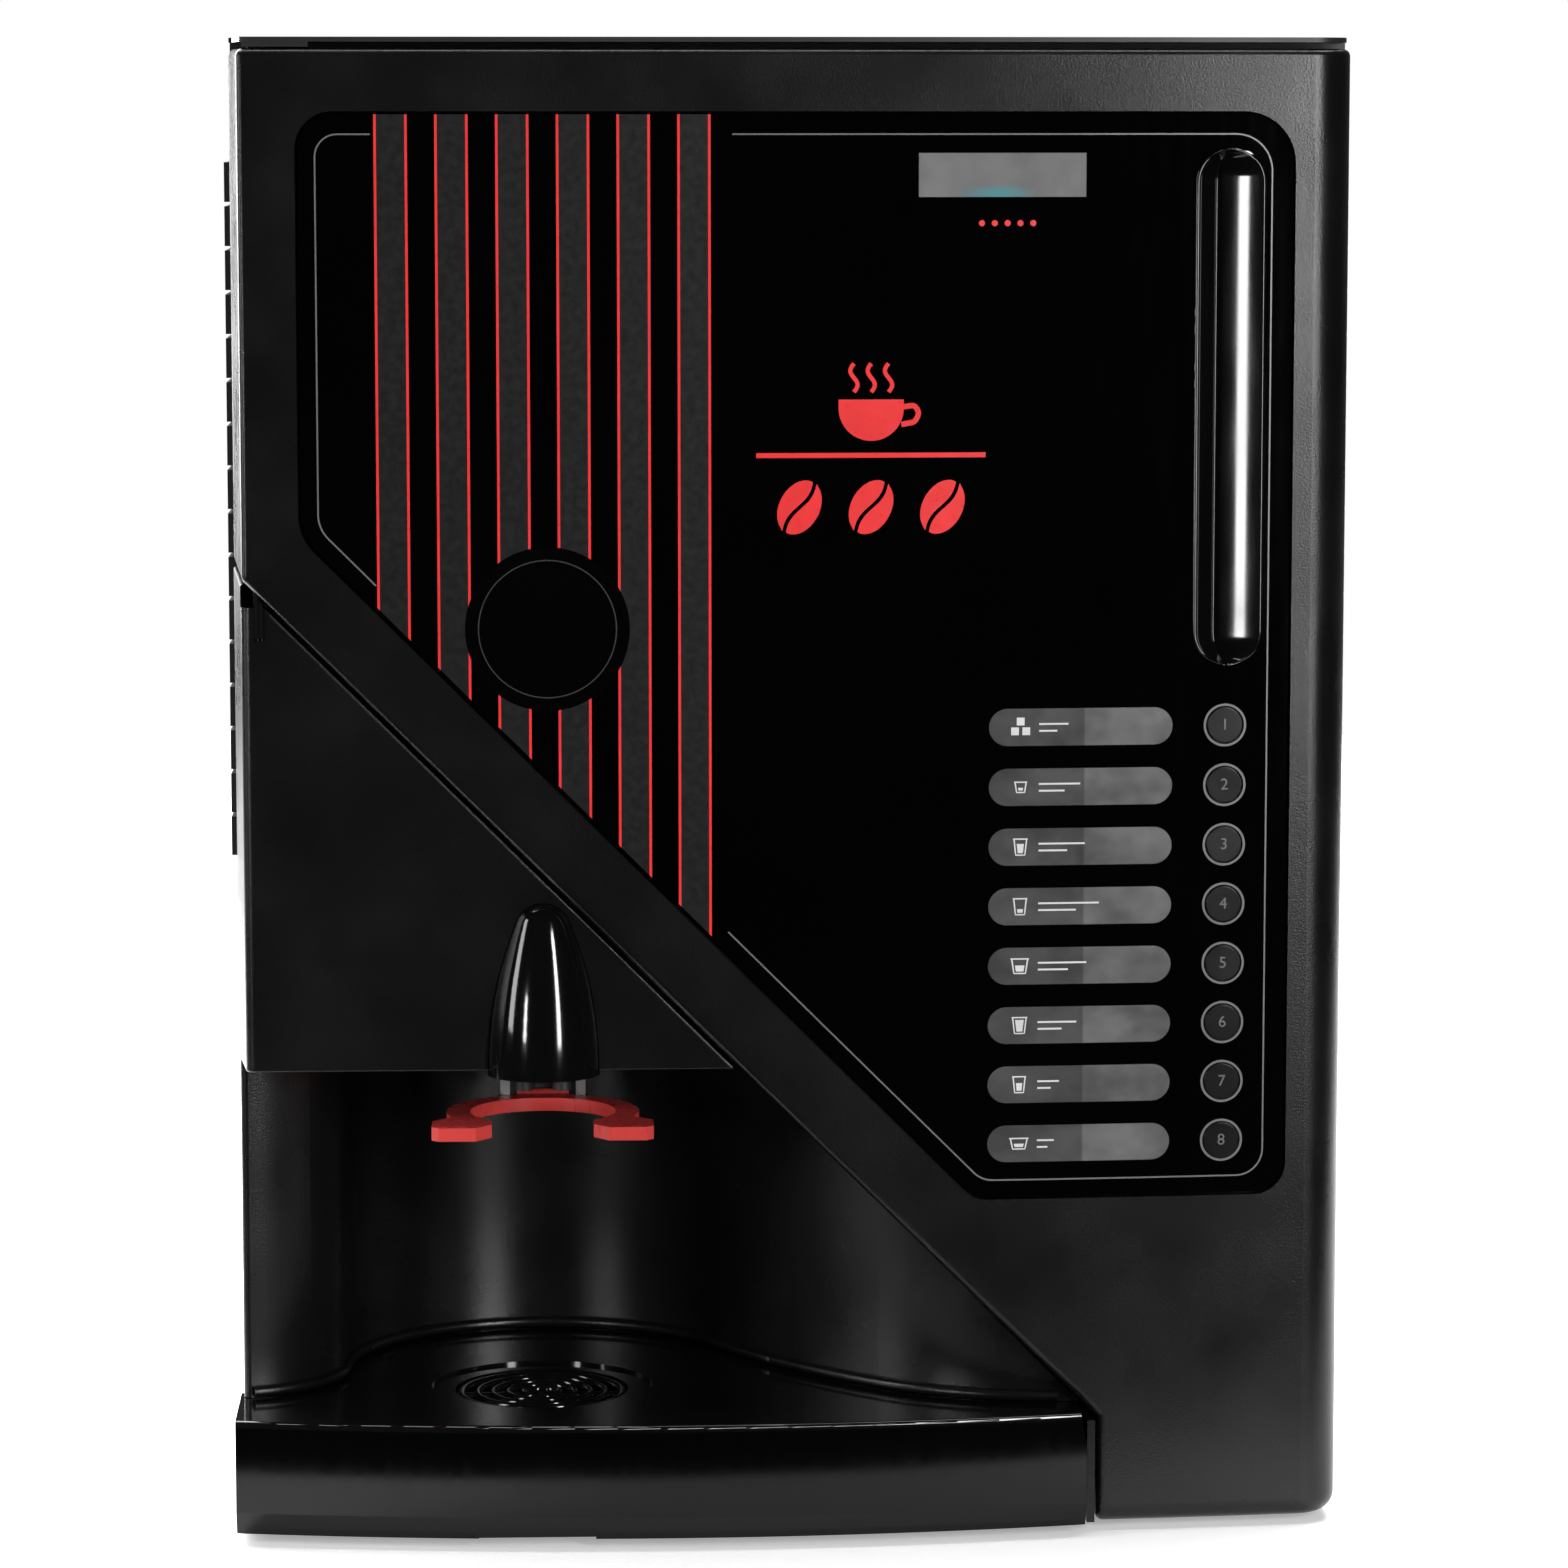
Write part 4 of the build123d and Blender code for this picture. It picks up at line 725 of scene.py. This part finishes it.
def button_centre(index):
    """Middle of a button's front face."""
    mesh = nodes[f"button_{index + 1}"].data
    front = min(v.co.y for v in mesh.vertices)
    near = [v.co for v in mesh.vertices if v.co.y < front + 2.2 * MM]
    low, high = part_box(f"button_{index + 1}")
    return Vector(((min(p.x for p in near) + max(p.x for p in near)) / 2, front, (low.z + high.z) / 2))


def numeral(index, ink):
    """Number on a button's face."""
    centre = button_centre(index)
    curve = bpy.data.curves.new(f"digit_{index + 1}", "FONT")
    curve.body = str(index + 1)
    curve.size = 6.6 * MM
    curve.align_x, curve.align_y = "CENTER", "CENTER"
    source = bpy.data.objects.new("digit_source", curve)
    bpy.context.scene.collection.objects.link(source)
    flat = bpy.data.meshes.new_from_object(source.evaluated_get(bpy.context.evaluated_depsgraph_get()))
    bpy.data.objects.remove(source)
    shape = bmesh.new()
    shape.from_mesh(flat)
    bpy.data.meshes.remove(flat)
    for v in shape.verts:
        v.co = Vector((v.co.x + centre.x, 0, v.co.y + centre.z))
    name = f"button_{index + 1}"
    lay(f"numeral_{index + 1}", shape, Front(name), name, ink, 0.05 * MM)


def make_graphics():
    red = printed("ink_red", (0.62, 0.028, 0.030), glow=0.42)
    field = printed("ink_grey", (0.0075, 0.0070, 0.0070), 0.35)
    black = polished("ink_black", (0.0012, 0.0012, 0.0014), 0.06, 0.35)
    line = printed("ink_line", (0.115, 0.115, 0.12), glow=0.3)
    icons = printed("ink_icons", (0.45, 0.45, 0.45), glow=0.6)
    digits = printed("ink_digits", (0.11, 0.11, 0.113), glow=0.25)
    panel = Front("front_panel")
    stripes(panel, field, red)
    blank_disc(panel, black, printed("ink_faint", (0.035, 0.035, 0.037), glow=0.15))
    pinstripes(panel, line)
    cup_sign(panel, red)
    bean_row(panel, red)
    display_dots(panel, red)
    pill_icons(Front("label_windows"), icons)
    button_rings(panel, line)
    for i in range(8):
        numeral(i, digits)


# ---------------------------------------------------------------- moulded details
def bridge(shape, one, two):
    """Joins two closed loops of vertices with a band of faces."""
    for i in range(len(one)):
        j = (i + 1) % len(one)
        shape.faces.new((one[i], two[i], two[j], one[j]))


def turned(shape, x, y, section, steps=96):
    """Adds a ring made by turning a closed (radius, z) section about an upright axis."""
    loops = []
    for k in range(steps):
        a = 2 * math.pi * k / steps
        loops.append([shape.verts.new((x + r * math.cos(a), y + r * math.sin(a), z)) for r, z in section])
    for one, two in zip(loops, loops[1:] + loops[:1]):
        bridge(shape, one, two)


def add_piece(name, shape, body, material):
    """Smooth shaded object from a bmesh, on one body."""
    bmesh.ops.recalc_face_normals(shape, faces=shape.faces)
    for face in shape.faces:
        face.smooth = True
    mesh = bpy.data.meshes.new(name)
    shape.to_mesh(mesh)
    shape.free()
    mesh.set_sharp_from_angle(angle=math.radians(35))
    mesh.materials.append(material)
    piece = bpy.data.objects.new(name, mesh)
    bpy.context.scene.collection.objects.link(piece)
    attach(piece, body)
    return piece


def rod(shape, points, radius, steps=24):
    """Adds a closed round rod along level or slanted points."""
    loops = []
    for i, point in enumerate(points):
        ahead = (points[min(i + 1, len(points) - 1)] - points[max(i - 1, 0)]).normalized()
        side = ahead.cross(Vector((0, -1, 0) if abs(ahead.z) > 0.3 else (0, 0, 1))).normalized()
        up = side.cross(ahead)
        ring = circle(0, 0, radius, steps)
        loops.append([shape.verts.new(point + side * u + up * v) for u, v in ring])
    for one, two in zip(loops, loops[1:]):
        bridge(shape, one, two)
    shape.faces.new(loops[0])
    shape.faces.new(loops[-1])


# middle radius and half width of each bar, mm
GRILLE_RINGS = ((34.0, 2.0), (27.0, 1.5), (20.5, 1.5), (14.0, 1.5), (7.5, 1.5))


def grille_rings(material):
    """Rounded concentric bars of the tray's grille on their cross."""
    low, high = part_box("tray_grille")
    middle = (low + high) / 2
    shape = bmesh.new()
    for radius, half in GRILLE_RINGS:
        section = ellipse(radius * MM, middle.z, half * MM, (high.z - low.z) / 2, 0, 16)
        turned(shape, middle.x, middle.y, section)
    reach = (high.x - low.x) / 2 - 3 * MM
    bar = ellipse(0, middle.z - 0.5 * MM, 1.8 * MM, (high.z - low.z) / 2 - 0.6 * MM, 0, 14)
    for lengthwise in (True, False):
        ends = []
        for end in (-reach, reach):
            loop = []
            for across, z in bar:
                dx, dy = (end, across) if lengthwise else (across, end)
                loop.append(shape.verts.new((middle.x + dx, middle.y + dy, z)))
            ends.append(loop)
        bridge(shape, *ends)
        for loop in ends:
            shape.faces.new(loop)
    piece = add_piece("grille_rings", shape, "grille", material)
    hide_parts("tray_grille")


def niche_foot_line(z):
    """Points and normals along the foot of the niche wall, from its left flank to its right end."""
    tree = Front("niche_liner").trees[0]
    rays = [((x * MM, -0.24), (0, 1)) for x in range(-224, -202, 2)]
    centre = (-103 * MM, -165 * MM)
    for degrees in range(184, 8, -4):
        a = math.radians(degrees)
        rays.append((centre, (math.cos(a), math.sin(a))))
    rays += [((x * MM, -0.24), (0, 1)) for x in range(-6, 114, 4)]
    line = []
    for (x, y), (dx, dy) in rays:
        spot, normal, _, _ = tree.ray_cast(Vector((x, y, z)), Vector((dx, dy, 0)))
        if spot is None or (line and (spot - line[-1][0]).length < 2 * MM):
            continue
        if normal.dot(Vector((dx, dy, 0))) > 0:
            normal = -normal
        line.append((spot, normal))
    return line


def niche_bead(material):
    """Rounded bead moulded along the foot of the niche wall."""
    radius = 2.3 * MM
    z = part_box("niche_liner")[0].z + radius + 0.3 * MM
    points = [spot + normal * 0.9 * MM for spot, normal in niche_foot_line(z)]
    shape = bmesh.new()
    rod(shape, points, radius)
    add_piece("niche_bead", shape, "cabinet", material)


def hood_lip(material):
    """Fine rounded lip moulded along the hood's slanted edge; its lighter, glossier plastic is a painted
    highlight along that edge.
    """
    low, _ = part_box("hood")
    front = Front("hood")
    near = [v.co for v in nodes["hood"].data.vertices if v.co.y < low.y + 6 * MM]
    total = max(p.x + p.z for p in near)
    edge = [p for p in near if p.x + p.z > total - 0.4 * MM]
    first, last = min(p.x for p in edge) + 2 * MM, max(p.x for p in edge) - 2 * MM
    points = []
    for k in range(81):
        x = first + (last - first) * k / 80
        z = total - 1.1 * MM - x
        y = front.y_at(x, z - 0.6 * MM)
        if y is not None:
            points.append(Vector((x, y + 0.1 * MM, z)))
    shape = bmesh.new()
    rod(shape, points, 0.55 * MM, 16)
    add_piece("hood_lip", shape, "cabinet", material)


PULL_HALF = 13.0  # half width of the trough, mm
PULL_RIM = 1.3  # width of its rim, mm
PULL_FLOOR_RADIUS = 0.9  # mm


def pull_section():
    """Section of the trough as (x, depth) in mm: long right wall, rounded bottom, steep left wall."""
    points, x, depth, step = [(PULL_HALF, 0.0)], PULL_HALF, 0.0, 0.5
    while x > -4.0:
        lean = math.radians(36 - 10 * (x + 4) / 17)
        x, depth = x - step, depth + math.tan(lean) * step
        points.append((x, depth))
    turn, turn_step = 36, 7
    run = PULL_FLOOR_RADIUS * math.radians(turn_step)
    while turn > -62:
        x -= run * math.cos(math.radians(turn))
        depth += run * math.sin(math.radians(turn))
        points.append((x, depth))
        turn -= turn_step
    left = points[-1]
    return points + [(left[0] + (-PULL_HALF - left[0]) * k / 6, left[1] * (1 - k / 6)) for k in range(1, 7)]


def pull_trough(material):
    """Smooth finger trough with tapered ends and a thin raised rim."""
    low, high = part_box("finger_pull")
    x = (low.x + high.x) / 2
    bottom, top = low.z + PULL_RIM * MM, high.z - PULL_RIM * MM
    half = PULL_HALF * MM
    front = Front("front_panel")
    section = pull_section()
    levels = [half * math.sin(math.radians(a)) for a in range(-90, 1, 6)]
    heights = [bottom + half + d for d in levels]
    heights += [bottom + half + (top - bottom - 2 * half) * k / 24 for k in range(1, 24)]
    heights += [top - half - d for d in reversed(levels)]
    shape = bmesh.new()
    rows = []
    for z in heights:
        off = max(bottom + half - z, z - top + half, 0)
        share = max(math.sqrt(max(half**2 - off**2, 0)) / half, 0.02)
        y_left = front.y_at(x - half * 1.5, z)
        y_right = front.y_at(x + half * 1.5, z)
        row = []
        edge = PULL_HALF + PULL_RIM / share
        lip = [(edge, -0.1), (PULL_HALF + 0.25, -0.1)]
        across = [*lip, *section, *[(-sx, depth) for sx, depth in reversed(lip)]]
        for sx, depth in across:
            px = x + sx * share * MM
            flat = y_left + (y_right - y_left) * (px - x + half * 1.5) / (3 * half)
            row.append(shape.verts.new((px, flat + (depth * share if depth > 0 else depth) * MM, z)))
        rows.append(row)
    for one, two in zip(rows, rows[1:]):
        for i in range(len(one) - 1):
            shape.faces.new((one[i], one[i + 1], two[i + 1], two[i]))
    piece = add_piece("pull_trough", shape, "door", material)
    wall = piece.modifiers.new("wall", "SOLIDIFY")
    wall.thickness = 0.8 * MM
    wall.offset = -1.0
    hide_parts("finger_pull")
    return piece


make_camera()
make_world()
make_lights()
make_floor()
finishes = make_finishes()
paint_frame(finishes)
make_graphics()
grille_rings(finishes["gloss_plastic"])
niche_bead(finishes["textured_plastic"])
# the lip's plastic is lighter than the hood's own: a painted highlight along the hood's slanted edge
hood_lip(polished("lip_plastic_painted_highlight", (0.02, 0.02, 0.0205), 0.25))
pull_trough(finishes["gloss_plastic"])
